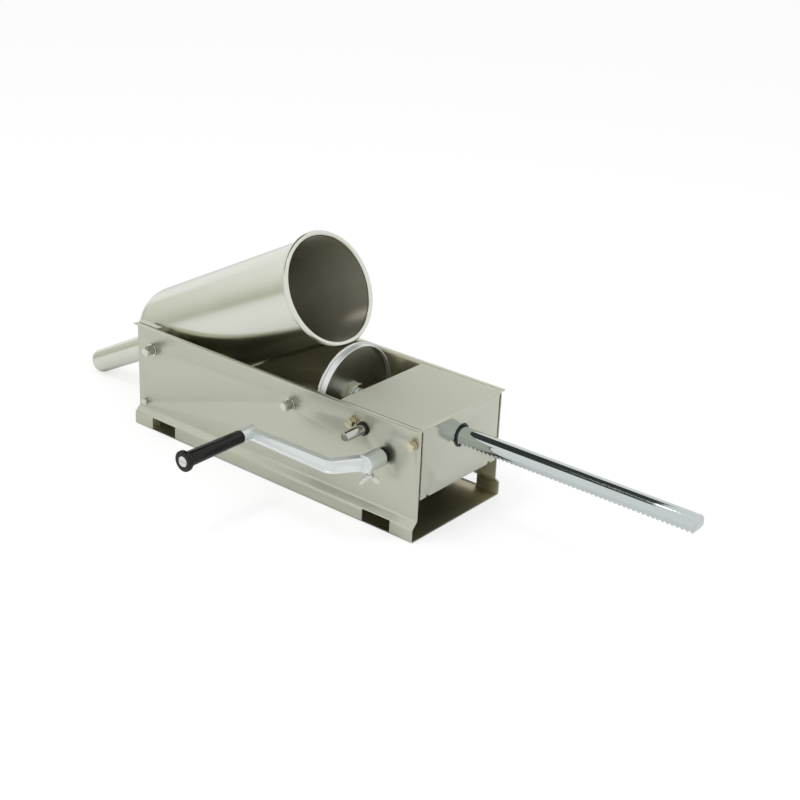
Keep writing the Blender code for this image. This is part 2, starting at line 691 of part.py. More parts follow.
def gearbox_cover():
    """Cover bent from one sheet: top, front with its inward lip, and two sides."""
    middle = SHEET / 2
    front = REAR_X - middle
    top = FRAME_HEIGHT - middle
    points = [(WALL_X, top), (front, top), (front, COVER_FRONT_BOTTOM)]
    path = rounded_path(points, BEND_RADIUS, BEND_STEPS)
    body = sheet("gearbox_cover", path, -COVER_HALF, COVER_HALF, in_xz, SHEET)

    slots = bmesh.new()
    for side_sign in (-1, 1):
        add_box(slots, (REAR_X - COVER_SIDE_RELIEF, side_sign * (COVER_HALF - COVER_FRONT_INSET),
                        COVER_FRONT_BOTTOM - CUT_OVERRUN),
                (REAR_X + CUT_OVERRUN, side_sign * (COVER_HALF + CUT_OVERRUN),
                 FRAME_HEIGHT - SHEET - BEND_RADIUS))
        add_box(slots, (front - CUT_OVERRUN, side_sign * COVER_LIP_HALF,
                        COVER_FRONT_BOTTOM - CUT_OVERRUN),
                (front + CUT_OVERRUN, side_sign * (COVER_LIP_HALF + COVER_NOTCH_WIDTH),
                 COVER_FRONT_BOTTOM + COVER_NOTCH_DEPTH))
    combine(body, cutter("cover_slots", slots))

    folds = bmesh.new()
    for side_sign in (-1, 1):
        add_box(folds, (WALL_X, side_sign * COVER_HALF, FRAME_HEIGHT - COVER_SIDE_DROP),
                (REAR_X - COVER_SIDE_RELIEF - FIT_GAP, side_sign * (COVER_HALF - SHEET), top))
    add_box(folds, (REAR_X - COVER_LIP_DEPTH, -COVER_LIP_HALF, COVER_FRONT_BOTTOM),
            (front, COVER_LIP_HALF, COVER_FRONT_BOTTOM + SHEET))
    combine(body, cutter("cover_folds", folds), "UNION")

    tools = bmesh.new()
    for side_sign in (-1, 1):
        add_side_holes(tools, gearbox_side_holes(side_sign), side_sign,
                       COVER_HALF - SHEET - CUT_OVERRUN, COVER_HALF + CUT_OVERRUN)
    add_rod(tools, "x", front - CUT_OVERRUN, front + CUT_OVERRUN, RACK_HOLE_RADIUS,
            (0, AXIS_HEIGHT), ROUND_MEDIUM)
    combine(body, cutter("cover_holes", tools))


def gearbox_rear_wall():
    """Plate that closes the gearbox towards the piston, with wings bolted to the panels."""
    half = COVER_HALF - SHEET - FIT_GAP - WALL_SHEET / 2
    wall = WALL_X + WALL_SHEET / 2
    wing = wall + WALL_WING_DEPTH
    points = [(wing, -half), (wall, -half), (wall, half), (wing, half)]
    path = rounded_path(points, BEND_RADIUS, BEND_STEPS)
    body = sheet("gearbox_rear_wall", path, SHEET + FIT_GAP, FRAME_HEIGHT - WALL_TOP_GAP, in_xy,
                 WALL_SHEET)
    tools = bmesh.new()
    add_rod(tools, "x", wall - CUT_OVERRUN, wall + CUT_OVERRUN, RACK_HOLE_RADIUS,
            (0, AXIS_HEIGHT), ROUND_MEDIUM)
    for side_sign in (-1, 1):
        add_side_holes(tools, gearbox_side_holes(side_sign)[:1], side_sign, half - CUT_OVERRUN,
                       half + CUT_OVERRUN)
    combine(body, cutter("rear_wall_holes", tools))


def rack_guide(name, face, direction, collar_length):
    """Flanged nylon bush round the rack; the collar points along the direction."""
    bore = RACK_RADIUS + RACK_RUNNING_GAP
    collar = RACK_HOLE_RADIUS * math.cos(math.pi / ROUND_MEDIUM) - FIT_GAP
    outline = [
        (-GUIDE_FLANGE_THICKNESS, bore),
        (-GUIDE_FLANGE_THICKNESS, GUIDE_FLANGE_RADIUS),
        (0, GUIDE_FLANGE_RADIUS),
        (0, collar),
        (collar_length, collar),
        (collar_length, bore),
    ]
    guide = bmesh.new()
    lathe(guide, outline, ROUND_MEDIUM, axis=(direction, 0, 0), centre=(face, 0, AXIS_HEIGHT))
    finish(name, guide, "black_nylon")


def flanged_bush(name, face, direction, centre, shaft_radius, length):
    """Bronze bush along Y; the flange starts at the face and the barrel follows."""
    bore = shaft_radius + FIT_GAP
    barrel = shaft_radius + BUSH_WALL
    flange = barrel + BUSH_FLANGE_OVERHANG
    end = BUSH_FLANGE_THICKNESS + length
    outline = [
        (0, bore),
        (0, flange),
        (BUSH_FLANGE_THICKNESS, flange),
        (BUSH_FLANGE_THICKNESS, barrel),
        (end, barrel),
        (end, bore),
    ]
    body = bmesh.new()
    lathe(body, outline, ROUND_MEDIUM, axis=(0, direction, 0), centre=(centre[0], face, centre[1]))
    finish(name, body, "bronze")


def shaft_bushes():
    """Bushes of the main shaft in both panels and of the upper shaft in panel and bracket."""
    face = OUTSIDE + BUSH_FLANGE_THICKNESS
    main_centre = (MAIN_SHAFT_X, MAIN_SHAFT_HEIGHT)
    upper_centre = (UPPER_SHAFT_X, UPPER_SHAFT_HEIGHT)
    flanged_bush("main_bush_near", -face, 1, main_centre, MAIN_SHAFT_RADIUS, BUSH_LENGTH)
    flanged_bush("main_bush_far", face, -1, main_centre, MAIN_SHAFT_RADIUS, BUSH_LENGTH)
    flanged_bush("upper_bush_near", -face, 1, upper_centre, UPPER_SHAFT_RADIUS, BUSH_LENGTH)
    flanged_bush("upper_bush_inner", BRACKET_NEAR_Y - FIT_GAP - BUSH_FLANGE_THICKNESS, 1,
                 upper_centre, UPPER_SHAFT_RADIUS, BRACKET_SHEET + FIT_GAP)


def shaft_bracket():
    """Angle on the rear wall that carries the inner bush of the upper shaft."""
    plate_y = BRACKET_NEAR_Y + BRACKET_SHEET / 2
    foot_x = WALL_X + WALL_SHEET + FIT_GAP + BRACKET_SHEET / 2
    points = [
        (UPPER_SHAFT_X + BRACKET_REACH, plate_y),
        (foot_x, plate_y),
        (foot_x, plate_y - BRACKET_FOOT),
    ]
    path = rounded_path(points, BEND_RADIUS, BEND_STEPS)
    body = sheet("shaft_bracket", path, UPPER_SHAFT_HEIGHT - BRACKET_HALF_HEIGHT,
                 UPPER_SHAFT_HEIGHT + BRACKET_HALF_HEIGHT, in_xy, BRACKET_SHEET)
    tools = bmesh.new()
    barrel = UPPER_SHAFT_RADIUS + BUSH_WALL
    add_rod(tools, "y", BRACKET_NEAR_Y - CUT_OVERRUN, BRACKET_NEAR_Y + BRACKET_SHEET + CUT_OVERRUN,
            hole_radius(barrel, ROUND_MEDIUM), (UPPER_SHAFT_X, UPPER_SHAFT_HEIGHT), ROUND_MEDIUM)
    combine(body, cutter("bracket_hole", tools))


def involute(angle):
    """Involute function of an angle."""
    return math.tan(angle) - angle


def gear_outline(teeth, shift_share, tip_trim, phase):
    """Outline of a spur gear with involute flanks and one tooth at the phase angle."""
    pitch_radius = TOOTH_MODULE * teeth / 2
    base_radius = pitch_radius * math.cos(PRESSURE_ANGLE)
    tip_radius = pitch_radius + TOOTH_MODULE * (1 + shift_share) - tip_trim
    root_radius = pitch_radius - TOOTH_MODULE * (ROOT_DEPTH_SHARE - shift_share)
    width = TOOTH_MODULE * (math.pi / 2 + 2 * shift_share * math.tan(PRESSURE_ANGLE))
    half_at_base = (width / 2 - FLANK_PLAY) / pitch_radius + involute(PRESSURE_ANGLE)
    flank = [(root_radius, half_at_base)]
    for i in range(FLANK_STEPS + 1):
        radius = base_radius + (tip_radius - base_radius) * i / FLANK_STEPS
        flank.append((radius, half_at_base - involute(math.acos(base_radius / radius))))
    points = []
    for k in range(teeth):
        middle = phase + 2 * math.pi * k / teeth
        for radius, half in flank:
            points.append((radius * math.cos(middle - half), radius * math.sin(middle - half)))
        for radius, half in reversed(flank):
            points.append((radius * math.cos(middle + half), radius * math.sin(middle + half)))
    return points


def rack_bar():
    """Round bar with teeth along its underside and a tapped hole in its piston end."""
    carrier = pivot("rack_pivot", (0, 0, AXIS_HEIGHT))
    start = (PISTON_X + PISTON_FACE_THICKNESS + FIT_GAP
             + PISTON_SEAL_THICKNESS + FIT_GAP + PISTON_CUP_WALL + FIT_GAP)
    end = RACK_END_X
    outline = [
        (start, 0),
        (start, RACK_RADIUS),
        (end - RACK_END_CHAMFER, RACK_RADIUS),
        (end, RACK_RADIUS - RACK_END_CHAMFER),
        (end, 0),
    ]
    bar = bmesh.new()
    lathe(bar, outline, ROUND_RACK)
    body = finish("rack_bar", bar, "chrome", carrier)

    pitch = math.pi * TOOTH_MODULE
    crest = -RACK_CREST_DROP
    root = crest + TOOTH_MODULE * (1 + ROOT_DEPTH_SHARE)
    lean = math.tan(PRESSURE_ANGLE)
    crest_half = pitch / 4 - FLANK_PLAY - TOOTH_MODULE * lean
    root_half = crest_half + (root - crest) * lean
    below = -RACK_RADIUS - CUT_OVERRUN
    first = MAIN_SHAFT_X - RACK_TEETH_LEFT * pitch
    comb = [(first - crest_half, below), (first - crest_half, crest), (first + crest_half, crest),
            (first + root_half, root)]
    for k in range(1 - RACK_TEETH_LEFT, RACK_TEETH_RIGHT + 1):
        middle = MAIN_SHAFT_X + k * pitch
        comb += [(middle - root_half, root), (middle - crest_half, crest),
                 (middle + crest_half, crest), (middle + root_half, root)]
    comb.append((comb[-1][0], below))
    tool = bmesh.new()
    add_plate(tool, comb, -RACK_RADIUS - CUT_OVERRUN, RACK_RADIUS + CUT_OVERRUN, in_xz)
    combine(body, cutter("rack_comb", tool, carrier))

    tapped = bmesh.new()
    hole_end = PISTON_X + PISTON_SCREW_LENGTH + FIT_GAP
    add_rod(tapped, "x", start - CUT_OVERRUN, hole_end, hole_radius(PISTON_SCREW_RADIUS), (0, 0),
            ROUND_SMALL)
    combine(body, cutter("rack_tapped_hole", tapped, carrier))
    return carrier


def piston(carrier):
    """Front plate, seal ring, open-backed cup, hub nut and the screw into the rack."""
    face = PISTON_X
    hub = face + PISTON_FACE_THICKNESS + FIT_GAP
    shoulder = hub + PISTON_SEAL_THICKNESS + FIT_GAP
    web = shoulder + PISTON_CUP_WALL
    sunk = face + FIT_GAP
    seat = sunk + PISTON_SCREW_HEAD_THICKNESS
    head_bore = PISTON_SCREW_HEAD_RADIUS + FIT_GAP
    screw_bore = PISTON_SCREW_RADIUS + FIT_GAP

    plate = bmesh.new()
    back = face + PISTON_FACE_THICKNESS
    lathe(plate, [(face, head_bore), (face, PISTON_FACE_RADIUS), (back, PISTON_FACE_RADIUS),
                  (back, head_bore)], ROUND_PISTON)
    finish("piston_front_plate", plate, "polished_steel", carrier)

    seal = bmesh.new()
    seal_end = hub + PISTON_SEAL_THICKNESS
    seal_bore = PISTON_HUB_RADIUS + FIT_GAP
    lathe(seal, [(hub, seal_bore), (hub, PISTON_SEAL_RADIUS), (seal_end, PISTON_SEAL_RADIUS),
                 (seal_end, seal_bore)], ROUND_PISTON)
    finish("piston_seal", seal, "seal_rubber", carrier)

    cup = bmesh.new()
    rim = shoulder + PISTON_CUP_DEPTH
    lathe(cup, [
        (seat + FIT_GAP, head_bore),
        (hub, head_bore),
        (hub, PISTON_HUB_RADIUS),
        (shoulder, PISTON_HUB_RADIUS),
        (shoulder, PISTON_CUP_RADIUS),
        (rim, PISTON_CUP_RADIUS),
        (rim, PISTON_CUP_RADIUS - PISTON_CUP_WALL),
        (web, PISTON_CUP_RADIUS - PISTON_CUP_WALL),
        (web, screw_bore),
        (seat + FIT_GAP, screw_bore),
    ], ROUND_PISTON)
    finish("piston_cup", cup, "polished_steel", carrier)

    nut = bmesh.new()
    nut_start = web + FIT_GAP
    add_rod(nut, "x", nut_start, nut_start + PISTON_NUT_THICKNESS,
            PISTON_NUT_WIDTH / math.sqrt(3), (0, 0), HEX_SIDES)
    body = finish("piston_hub_nut", nut, "zinc_steel", carrier)
    bore = bmesh.new()
    add_rod(bore, "x", nut_start - CUT_OVERRUN, nut_start + PISTON_NUT_THICKNESS + CUT_OVERRUN,
            hole_radius(RACK_RADIUS, ROUND_MEDIUM), (0, 0), ROUND_MEDIUM)
    combine(body, cutter("hub_nut_bore", bore, carrier))

    screw = bmesh.new()
    tip = face + PISTON_SCREW_LENGTH
    lathe(screw, [(sunk, 0), (sunk, PISTON_SCREW_HEAD_RADIUS), (seat, PISTON_SCREW_HEAD_RADIUS),
                  (seat, PISTON_SCREW_RADIUS), (tip, PISTON_SCREW_RADIUS), (tip, 0)], ROUND_SMALL)
    body = finish("piston_screw", screw, "zinc_steel", carrier)
    socket = bmesh.new()
    add_rod(socket, "x", sunk - CUT_OVERRUN, sunk + PISTON_SCREW_SOCKET_DEPTH,
            PISTON_SCREW_SOCKET_WIDTH / math.sqrt(3), (0, 0), HEX_SIDES)
    combine(body, cutter("piston_screw_socket", socket, carrier))


def shaft_outline(start, end, radius):
    """Outline of a plain shaft with chamfered ends."""
    return [
        (start, 0),
        (start, radius - SHAFT_CHAMFER),
        (start + SHAFT_CHAMFER, radius),
        (end - SHAFT_CHAMFER, radius),
        (end, radius - SHAFT_CHAMFER),
        (end, 0),
    ]


def circlip(name, start, shaft_radius, carrier):
    """Ring round a shaft along local Y, opened by a slot at its top."""
    inner = shaft_radius + FIT_GAP
    outer = inner + CIRCLIP_WIDTH
    end = start + CIRCLIP_THICKNESS
    ring = bmesh.new()
    lathe(ring, [(start, inner), (start, outer), (end, outer), (end, inner)], ROUND_MEDIUM,
          axis=(0, 1, 0))
    body = finish(name, ring, "gear_steel", carrier)
    slot = bmesh.new()
    add_box(slot, (-CIRCLIP_SLOT / 2, start - CUT_OVERRUN, 0),
            (CIRCLIP_SLOT / 2, end + CUT_OVERRUN, outer + CUT_OVERRUN))
    combine(body, cutter(name + "_slot", slot, carrier))


def main_shaft():
    """Lower shaft with the drive pinion cut on it, its gear, cross pin and circlips."""
    carrier = pivot("main_shaft_pivot", (MAIN_SHAFT_X, 0, MAIN_SHAFT_HEIGHT))
    near = -(PANEL_OUTER + MAIN_SHAFT_NEAR_REACH)
    far = PANEL_OUTER + MAIN_SHAFT_FAR_REACH
    shaft = bmesh.new()
    lathe(shaft, shaft_outline(near, far, MAIN_SHAFT_RADIUS), ROUND_MEDIUM, axis=(0, 1, 0))
    body = finish("main_shaft", shaft, "gear_steel", carrier)

    half_tooth = math.pi / PINION_TEETH
    pinion = bmesh.new()
    outline = gear_outline(PINION_TEETH, SHIFT_SHARE, PINION_TIP_TRIM, math.pi / 2 + half_tooth)
    add_plate(pinion, outline, -PINION_WIDTH / 2, PINION_WIDTH / 2, in_xz)
    combine(body, cutter("drive_pinion_teeth", pinion, carrier), "UNION")

    gear_start = -GEAR_NEAR_FACE
    gear_end = gear_start + GEAR_WIDTH
    hub_end = gear_end + GEAR_HUB_LENGTH
    pin_y = (gear_end + hub_end) / 2
    cuts = bmesh.new()
    add_box(cuts, (-MAIN_SHAFT_RADIUS, near - CUT_OVERRUN, -MAIN_SHAFT_RADIUS - CUT_OVERRUN),
            (MAIN_SHAFT_RADIUS, near + SHAFT_FLAT_LENGTH, SHAFT_FLAT_DEPTH - MAIN_SHAFT_RADIUS))
    add_rod(cuts, "z", -GEAR_HUB_RADIUS, GEAR_HUB_RADIUS, hole_radius(GEAR_PIN_RADIUS),
            (0, pin_y), ROUND_SMALL)
    combine(body, cutter("main_shaft_cuts", cuts, carrier))

    disc = bmesh.new()
    phase = math.pi - UPPER_SHAFT_ANGLE
    add_plate(disc, gear_outline(GEAR_TEETH, -SHIFT_SHARE, 0, phase), gear_start, gear_end, in_xz)
    gear = finish("reduction_gear", disc, "gear_steel", carrier)
    hub = bmesh.new()
    add_rod(hub, "y", (gear_start + gear_end) / 2, hub_end, GEAR_HUB_RADIUS, (0, 0), ROUND_MEDIUM)
    combine(gear, cutter("gear_hub", hub, carrier), "UNION")
    bore = bmesh.new()
    add_rod(bore, "y", gear_start - CUT_OVERRUN, hub_end + CUT_OVERRUN,
            hole_radius(MAIN_SHAFT_RADIUS, ROUND_MEDIUM), (0, 0), ROUND_MEDIUM)
    combine(gear, cutter("gear_bore", bore, carrier))
    cross = bmesh.new()
    add_rod(cross, "z", -GEAR_HUB_RADIUS - CUT_OVERRUN, GEAR_HUB_RADIUS + CUT_OVERRUN,
            hole_radius(GEAR_PIN_RADIUS), (0, pin_y), ROUND_SMALL)
    combine(gear, cutter("gear_cross_hole", cross, carrier))

    pin = bmesh.new()
    add_rod(pin, "z", FIT_GAP - GEAR_HUB_RADIUS, GEAR_HUB_RADIUS - FIT_GAP, GEAR_PIN_RADIUS,
            (0, pin_y), ROUND_SMALL)
    finish("gear_pin", pin, "gear_steel", carrier)

    barrel_end = OUTSIDE - BUSH_LENGTH - FIT_GAP
    flange_end = OUTSIDE + BUSH_FLANGE_THICKNESS + FIT_GAP
    circlip("main_shaft_circlip_inner", barrel_end - CIRCLIP_THICKNESS, MAIN_SHAFT_RADIUS,
            carrier)
    circlip("main_shaft_circlip_outer", flange_end, MAIN_SHAFT_RADIUS, carrier)
    return carrier


def upper_shaft():
    """Upper shaft with its pinion, seating shoulder, drive flat and circlip."""
    carrier = pivot("upper_shaft_pivot", (UPPER_SHAFT_X, 0, UPPER_SHAFT_HEIGHT))
    near = -(PANEL_OUTER + UPPER_SHAFT_REACH)
    teeth_start = -GEAR_NEAR_FACE - UPPER_PINION_EXTRA
    teeth_end = GEAR_WIDTH - GEAR_NEAR_FACE + UPPER_PINION_EXTRA
    shoulder_end = BRACKET_NEAR_Y - FIT_GAP - BUSH_FLANGE_THICKNESS - FIT_GAP
    end = BRACKET_NEAR_Y + BRACKET_SHEET
    outline = [
        (near, 0),
        (near, UPPER_SHAFT_RADIUS - SHAFT_CHAMFER),
        (near + SHAFT_CHAMFER, UPPER_SHAFT_RADIUS),
        (teeth_start, UPPER_SHAFT_RADIUS),
        (teeth_start, UPPER_SHOULDER_RADIUS),
        (shoulder_end, UPPER_SHOULDER_RADIUS),
        (shoulder_end, UPPER_SHAFT_RADIUS),
        (end, UPPER_SHAFT_RADIUS),
        (end, 0),
    ]
    shaft = bmesh.new()
    lathe(shaft, outline, ROUND_MEDIUM, axis=(0, 1, 0))
    body = finish("upper_shaft", shaft, "zinc_steel", carrier)

    half_tooth = math.pi / PINION_TEETH
    pinion = bmesh.new()
    teeth = gear_outline(PINION_TEETH, SHIFT_SHARE, PINION_TIP_TRIM,
                         half_tooth - UPPER_SHAFT_ANGLE)
    add_plate(pinion, teeth, teeth_start, teeth_end, in_xz)
    combine(body, cutter("upper_pinion_teeth", pinion, carrier), "UNION")
    flat = bmesh.new()
    add_box(flat, (-UPPER_SHAFT_RADIUS, near - CUT_OVERRUN, -UPPER_SHAFT_RADIUS - CUT_OVERRUN),
            (UPPER_SHAFT_RADIUS, near + SHAFT_FLAT_LENGTH, SHAFT_FLAT_DEPTH - UPPER_SHAFT_RADIUS))
    combine(body, cutter("upper_shaft_flat", flat, carrier))

    barrel_end = FIT_GAP + BUSH_LENGTH - OUTSIDE
    circlip("upper_shaft_circlip", barrel_end, UPPER_SHAFT_RADIUS, carrier)


def arm_section(half_height):
    """I-shaped section of the arm as (outwards, up) points."""
    half = ARM_THICKNESS / 2
    web = half - ARM_RECESS
    inner = half_height - ARM_RIM_WIDTH
    slope = inner - ARM_RECESS / 2
    quarter = [(half, half_height), (half, inner), (web, slope)]
    front = quarter + [(n, -z) for n, z in reversed(quarter)]
    return front + [(-n, z) for n, z in reversed(front)]


def crank_arm(carrier):
    """Cast crank: closed hub, cranked I-section arm and grip boss in one piece."""
    hub = bmesh.new()
    lathe(hub, [
        (-HUB_BACK_Y, 0),
        (-HUB_BACK_Y, HUB_RADIUS - HUB_CHAMFER),
        (HUB_CHAMFER - HUB_BACK_Y, HUB_RADIUS),
        (-HUB_FRONT_Y - HUB_CHAMFER, HUB_RADIUS),
        (-HUB_FRONT_Y, HUB_RADIUS - HUB_CHAMFER),
        (-HUB_FRONT_Y, 0),
    ], ROUND_WIDE, axis=(0, -1, 0))
    body = finish("crank_arm", hub, "cast_aluminium", carrier)

    points = [(0, HUB_FRONT_Y + ARM_START_DEPTH), (-ARM_STEP_RUN, ARM_Y), (-ARM_RADIUS, ARM_Y)]
    path = rounded_path(points, ARM_BEND_RADIUS, ARM_BEND_STEPS)
    arm = bmesh.new()
    rings = []
    for i, point in enumerate(path):
        ahead = path[min(i + 1, len(path) - 1)] - path[max(i - 1, 0)]
        outwards = Vector((-ahead.y, ahead.x)).normalized()
        share = abs(point.x) / ARM_RADIUS
        half_height = (ARM_ROOT_HEIGHT + (ARM_TIP_HEIGHT - ARM_ROOT_HEIGHT) * share) / 2
        ring = []
        for n, z in arm_section(half_height):
            flat = point + outwards * n
            ring.append(arm.verts.new((flat.x, flat.y, z)))
        rings.append(ring)
    count = len(rings[0])
    for first, second in zip(rings, rings[1:]):
        for i in range(count):
            after = (i + 1) % count
            arm.faces.new((first[i], first[after], second[after], second[i]))
    arm.faces.new(rings[0])
    arm.faces.new(list(reversed(rings[-1])))
    combine(body, cutter("arm_casting", arm, carrier), "UNION")

    boss = bmesh.new()
    boss_back = -ARM_Y - ARM_BOSS_BACK
    boss_front = -ARM_Y + ARM_BOSS_FRONT
    lathe(boss, [
        (boss_back, 0),
        (boss_back, ARM_BOSS_RADIUS - BOSS_CHAMFER),
        (boss_back + BOSS_CHAMFER, ARM_BOSS_RADIUS),
        (boss_front - BOSS_CHAMFER, ARM_BOSS_RADIUS),
        (boss_front, ARM_BOSS_RADIUS - BOSS_CHAMFER),
        (boss_front, 0),
    ], ROUND_MEDIUM, axis=(0, -1, 0), centre=(-ARM_RADIUS, 0, 0))
    combine(body, cutter("arm_boss", boss, carrier), "UNION")

    holes = bmesh.new()
    add_rod(holes, "y", HUB_BACK_Y + CUT_OVERRUN, HUB_FRONT_Y + HUB_FRONT_WALL,
            hole_radius(MAIN_SHAFT_RADIUS, ROUND_MEDIUM), (0, 0), ROUND_MEDIUM)
    add_rod(holes, "y", CUT_OVERRUN - boss_back, -CUT_OVERRUN - boss_front,
            hole_radius(SPINDLE_RADIUS), (-ARM_RADIUS, 0), ROUND_SMALL)
    combine(body, cutter("crank_bores", holes, carrier))
    tapped = bmesh.new()
    add_rod(tapped, "z", -HUB_RADIUS - CUT_OVERRUN, 0, hole_radius(WING_STEM_RADIUS),
            (0, WING_Y), ROUND_SMALL)
    combine(body, cutter("wing_screw_hole", tapped, carrier))


def wing_screw():
    """Wing screw that clamps the crank's hub on the shaft's flat."""
    carrier = pivot("wing_screw_pivot", (MAIN_SHAFT_X, WING_Y, MAIN_SHAFT_HEIGHT),
                    (0, 0, WING_TURN))
    top = SHAFT_FLAT_DEPTH - MAIN_SHAFT_RADIUS - FIT_GAP
    collar_top = -HUB_RADIUS - WING_EXPOSED_STEM
    bottom = collar_top - WING_COLLAR_LENGTH
    stem = bmesh.new()
    lathe(stem, [
        (top, 0),
        (top, WING_STEM_RADIUS),
        (collar_top, WING_STEM_RADIUS),
        (collar_top, WING_COLLAR_RADIUS),
        (bottom, WING_COLLAR_RADIUS),
        (bottom, 0),
    ], ROUND_SMALL, axis=(0, 0, 1))
    body = finish("wing_screw", stem, "zinc_steel", carrier)
    wings = bmesh.new()
    for side_sign in (-1, 1):
        made = bmesh.ops.create_cone(wings, cap_ends=True, segments=ROUND_MEDIUM, radius1=1.0,
                                     radius2=1.0, depth=WING_THICKNESS)
        size = Matrix.Diagonal((WING_LENGTH / 2, WING_BREADTH / 2, 1.0, 1.0))
        lean = Matrix.Rotation(-side_sign * WING_SPLAY, 4, "Y")
        stand = Matrix.Rotation(math.pi / 2, 4, "X")
        drop = bottom - WING_DROP + WING_COLLAR_LENGTH / 2
        place = Matrix.Translation((side_sign * WING_REACH, 0, drop))
        bmesh.ops.transform(wings, matrix=place @ lean.inverted() @ stand @ size,
                            verts=made["verts"])
    combine(body, cutter("wings", wings, carrier), "UNION")


def grip(carrier):
    """Free-turning grip on its spindle; the spindle is riveted in the arm's boss."""
    boss_back = -ARM_Y - ARM_BOSS_BACK
    grip_start = -GRIP_INNER_Y
    grip_end = grip_start + GRIP_LENGTH
    head_end = grip_end + SPINDLE_HEAD_STANDOUT
    head_start = head_end - SPINDLE_HEAD_THICKNESS
    rivet_end = boss_back - FIT_GAP
    spindle = bmesh.new()
    lathe(spindle, [
        (rivet_end - SPINDLE_RIVET_THICKNESS, 0),
        (rivet_end - SPINDLE_RIVET_THICKNESS, SPINDLE_RIVET_RADIUS),
        (rivet_end, SPINDLE_RIVET_RADIUS),
        (rivet_end, SPINDLE_RADIUS),
        (head_start, SPINDLE_RADIUS),
        (head_start, SPINDLE_HEAD_RADIUS),
        (head_end, SPINDLE_HEAD_RADIUS),
        (head_end, 0),
    ], ROUND_MEDIUM, axis=(0, -1, 0), centre=(-ARM_RADIUS, 0, 0))
    body = finish("grip_spindle", spindle, "zinc_steel", carrier)
    slot = bmesh.new()
    add_box(slot, (-ARM_RADIUS - SPINDLE_HEAD_RADIUS - CUT_OVERRUN, -head_end - CUT_OVERRUN,
                   -SPINDLE_SLOT_WIDTH / 2),
            (CUT_OVERRUN + SPINDLE_HEAD_RADIUS - ARM_RADIUS, SPINDLE_SLOT_DEPTH - head_end,
             SPINDLE_SLOT_WIDTH / 2))
    combine(body, cutter("spindle_slot", slot, carrier))

    turning = pivot("grip_pivot", (MAIN_SHAFT_X - ARM_RADIUS, GRIP_INNER_Y, MAIN_SHAFT_HEIGHT))
    bore = SPINDLE_RADIUS + FIT_GAP
    sunk = SPINDLE_HEAD_RADIUS + FIT_GAP
    flange = GRIP_LENGTH - GRIP_FLANGE_THICKNESS
    neck = flange - GRIP_NECK_LENGTH
    seat = head_start - grip_start - FIT_GAP
    handle = bmesh.new()
    lathe(handle, [
        (0, bore),
        (0, GRIP_INNER_RADIUS - GRIP_EDGE),
        (GRIP_EDGE, GRIP_INNER_RADIUS),
        (neck, GRIP_BODY_RADIUS),
        (neck + GRIP_EDGE, GRIP_NECK_RADIUS),
        (flange, GRIP_NECK_RADIUS),
        (flange, GRIP_FLANGE_RADIUS - GRIP_EDGE),
        (flange + GRIP_EDGE, GRIP_FLANGE_RADIUS),
        (GRIP_LENGTH - GRIP_EDGE, GRIP_FLANGE_RADIUS),
        (GRIP_LENGTH, GRIP_FLANGE_RADIUS - GRIP_EDGE),
        (GRIP_LENGTH, sunk),
        (seat, sunk),
        (seat, bore),
    ], ROUND_MEDIUM, axis=(0, -1, 0))
    finish("grip", handle, "black_plastic", turning)


